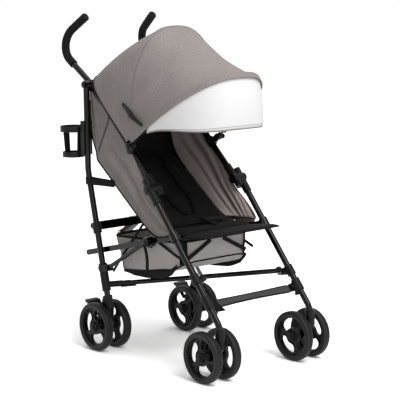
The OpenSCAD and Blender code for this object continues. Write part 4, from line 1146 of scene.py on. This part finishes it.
for name, rows, material, thick, flat, trim, body, node, slot in (
    ("canopy_rear_cloth", rear_rows, heather_canvas, CANOPY_T, (0.86, 0.29), rear_trim,
     "centre", "canopy_rear_panel", "grey_fabric"),
    ("canopy_front_cloth", front_rows, heather_canvas, CANOPY_T, (0.9, 0.36), front_trim,
     "canopy_front", "canopy_front_panel", "grey_fabric"),
    ("visor_cloth", visor_rows, visor_white, CANVAS_T, (0.9, 0.16), visor_trim,
     "visor", "visor", "white_fabric"),
):
    piece, area = cloth_piece(name, rows, material, thick)
    settle(piece, body, node)
    for sewn in trim:
        settle(sewn, body)

# Studio. A pale floor that keeps a soft shadow, a white surround and three large soft lamps.
# A narrow strip lamp at the side draws a thin bright line along the tubes.
scene = bpy.context.scene
scene.view_settings.view_transform = "Standard"
FLOOR_HALF = 30.0
corners = [(x * FLOOR_HALF, y * FLOOR_HALF, 0) for x, y in ((-1, -1), (1, -1), (1, 1), (-1, 1))]
floor_mesh = bpy.data.meshes.new("studio_floor")
floor_mesh.from_pydata(corners, [], [(0, 1, 2, 3)])
new_object("studio_floor", floor_mesh)


def seen_rays(tree):
    """One for the rays that show the studio straight, in gloss or through glass, and nought for the rest."""
    rays = add_node(tree, "ShaderNodeLightPath").outputs
    straight = add_node(tree, "ShaderNodeMath", {
        0: rays["Is Camera Ray"], 1: rays["Is Glossy Ray"]}, operation="MAXIMUM")
    through = add_node(tree, "ShaderNodeMath", {
        0: straight, 1: rays["Is Transmission Ray"]}, operation="MAXIMUM")
    return through


# The camera sees the floor over-bright, so that the open floor is white and the shadows keep their share.
floor_paint, tree = new_material("pale_floor")
place = add_node(tree, "ShaderNodeTexCoord").outputs["Object"]
away = add_node(tree, "ShaderNodeVectorMath", {0: place}, operation="LENGTH")
gain = add_node(tree, "ShaderNodeMapRange", {
    "Value": away, "From Min": 0.7, "From Max": 4.5, "To Min": 1.6, "To Max": 2.9})
shown = add_node(tree, "ShaderNodeMapRange", {"Value": seen_rays(tree), "To Min": 0.8, "To Max": gain})
matt = add_node(tree, "ShaderNodeBsdfDiffuse", {"Color": shown})
add_node(tree, "ShaderNodeOutputMaterial", {"Surface": matt})
floor_mesh.materials.append(floor_paint)

scene.world = bpy.data.worlds.new("studio")
scene.world.use_nodes = True
tree = scene.world.node_tree
tree.nodes.clear()
level = add_node(tree, "ShaderNodeMapRange", {"Value": seen_rays(tree), "To Min": 0.4, "To Max": 1.0})
sky = add_node(tree, "ShaderNodeBackground", {"Color": (1, 1, 1, 1), "Strength": level})
add_node(tree, "ShaderNodeOutputWorld", {"Surface": sky})

LIT_POINT = Vector((0, 0, 0.5))
# Each lamp has its place and its size in metres, and its power in watts.
LAMPS = {
    "key_lamp": ((-0.3, -2.8, 3.8), (2.0, 2.0), 98.0),
    "fill_lamp": ((-1.8, -3.8, 1.7), (2.6, 2.6), 32.0),
    "top_lamp": ((0.6, 0.3, 3.6), (2.6, 2.6), 42.0),
    "strip_lamp": ((1.3, -3.3, 0.9), (0.2, 1.8), 6.0),
}
for name, (place, size, power) in LAMPS.items():
    light = bpy.data.lights.new(name, "AREA")
    light.shape = "RECTANGLE"
    light.size, light.size_y = size
    light.energy = power
    lamp = new_object(name, light)
    lamp.location = place
    lamp.rotation_mode = "QUATERNION"
    lamp.rotation_quaternion = (LIT_POINT - Vector(place)).to_track_quat("-Z", "Y")

# Camera. It stands where the photograph was taken from, a little above the canopy's height.
# Its place, its lens and a slight roll were fitted to the wheels, legs, handles and canopy together.
AZIMUTH, ELEVATION, ROLL = (radians(a) for a in (-41.19, 8.87, -0.53))
DISTANCE = 4.377
TARGET = Vector((0, -0.0768, 0.4936))
flat_right = Vector((cos(AZIMUTH), sin(AZIMUTH), 0))
flat_back = Vector((sin(AZIMUTH), -cos(AZIMUTH), 0))
back = flat_back * cos(ELEVATION) + Vector((0, 0, sin(ELEVATION)))
flat_up = back.cross(flat_right)
cam_right = flat_right * cos(ROLL) + flat_up * sin(ROLL)
cam_up = flat_up * cos(ROLL) - flat_right * sin(ROLL)
turn = Matrix((cam_right, cam_up, back)).transposed().to_4x4()
camera_data = bpy.data.cameras.new("camera")
camera_data.sensor_width = 36.0
camera_data.lens = 125.4
camera = new_object("camera", camera_data)
camera.matrix_world = Matrix.Translation(TARGET + back * DISTANCE) @ turn
scene.camera = camera
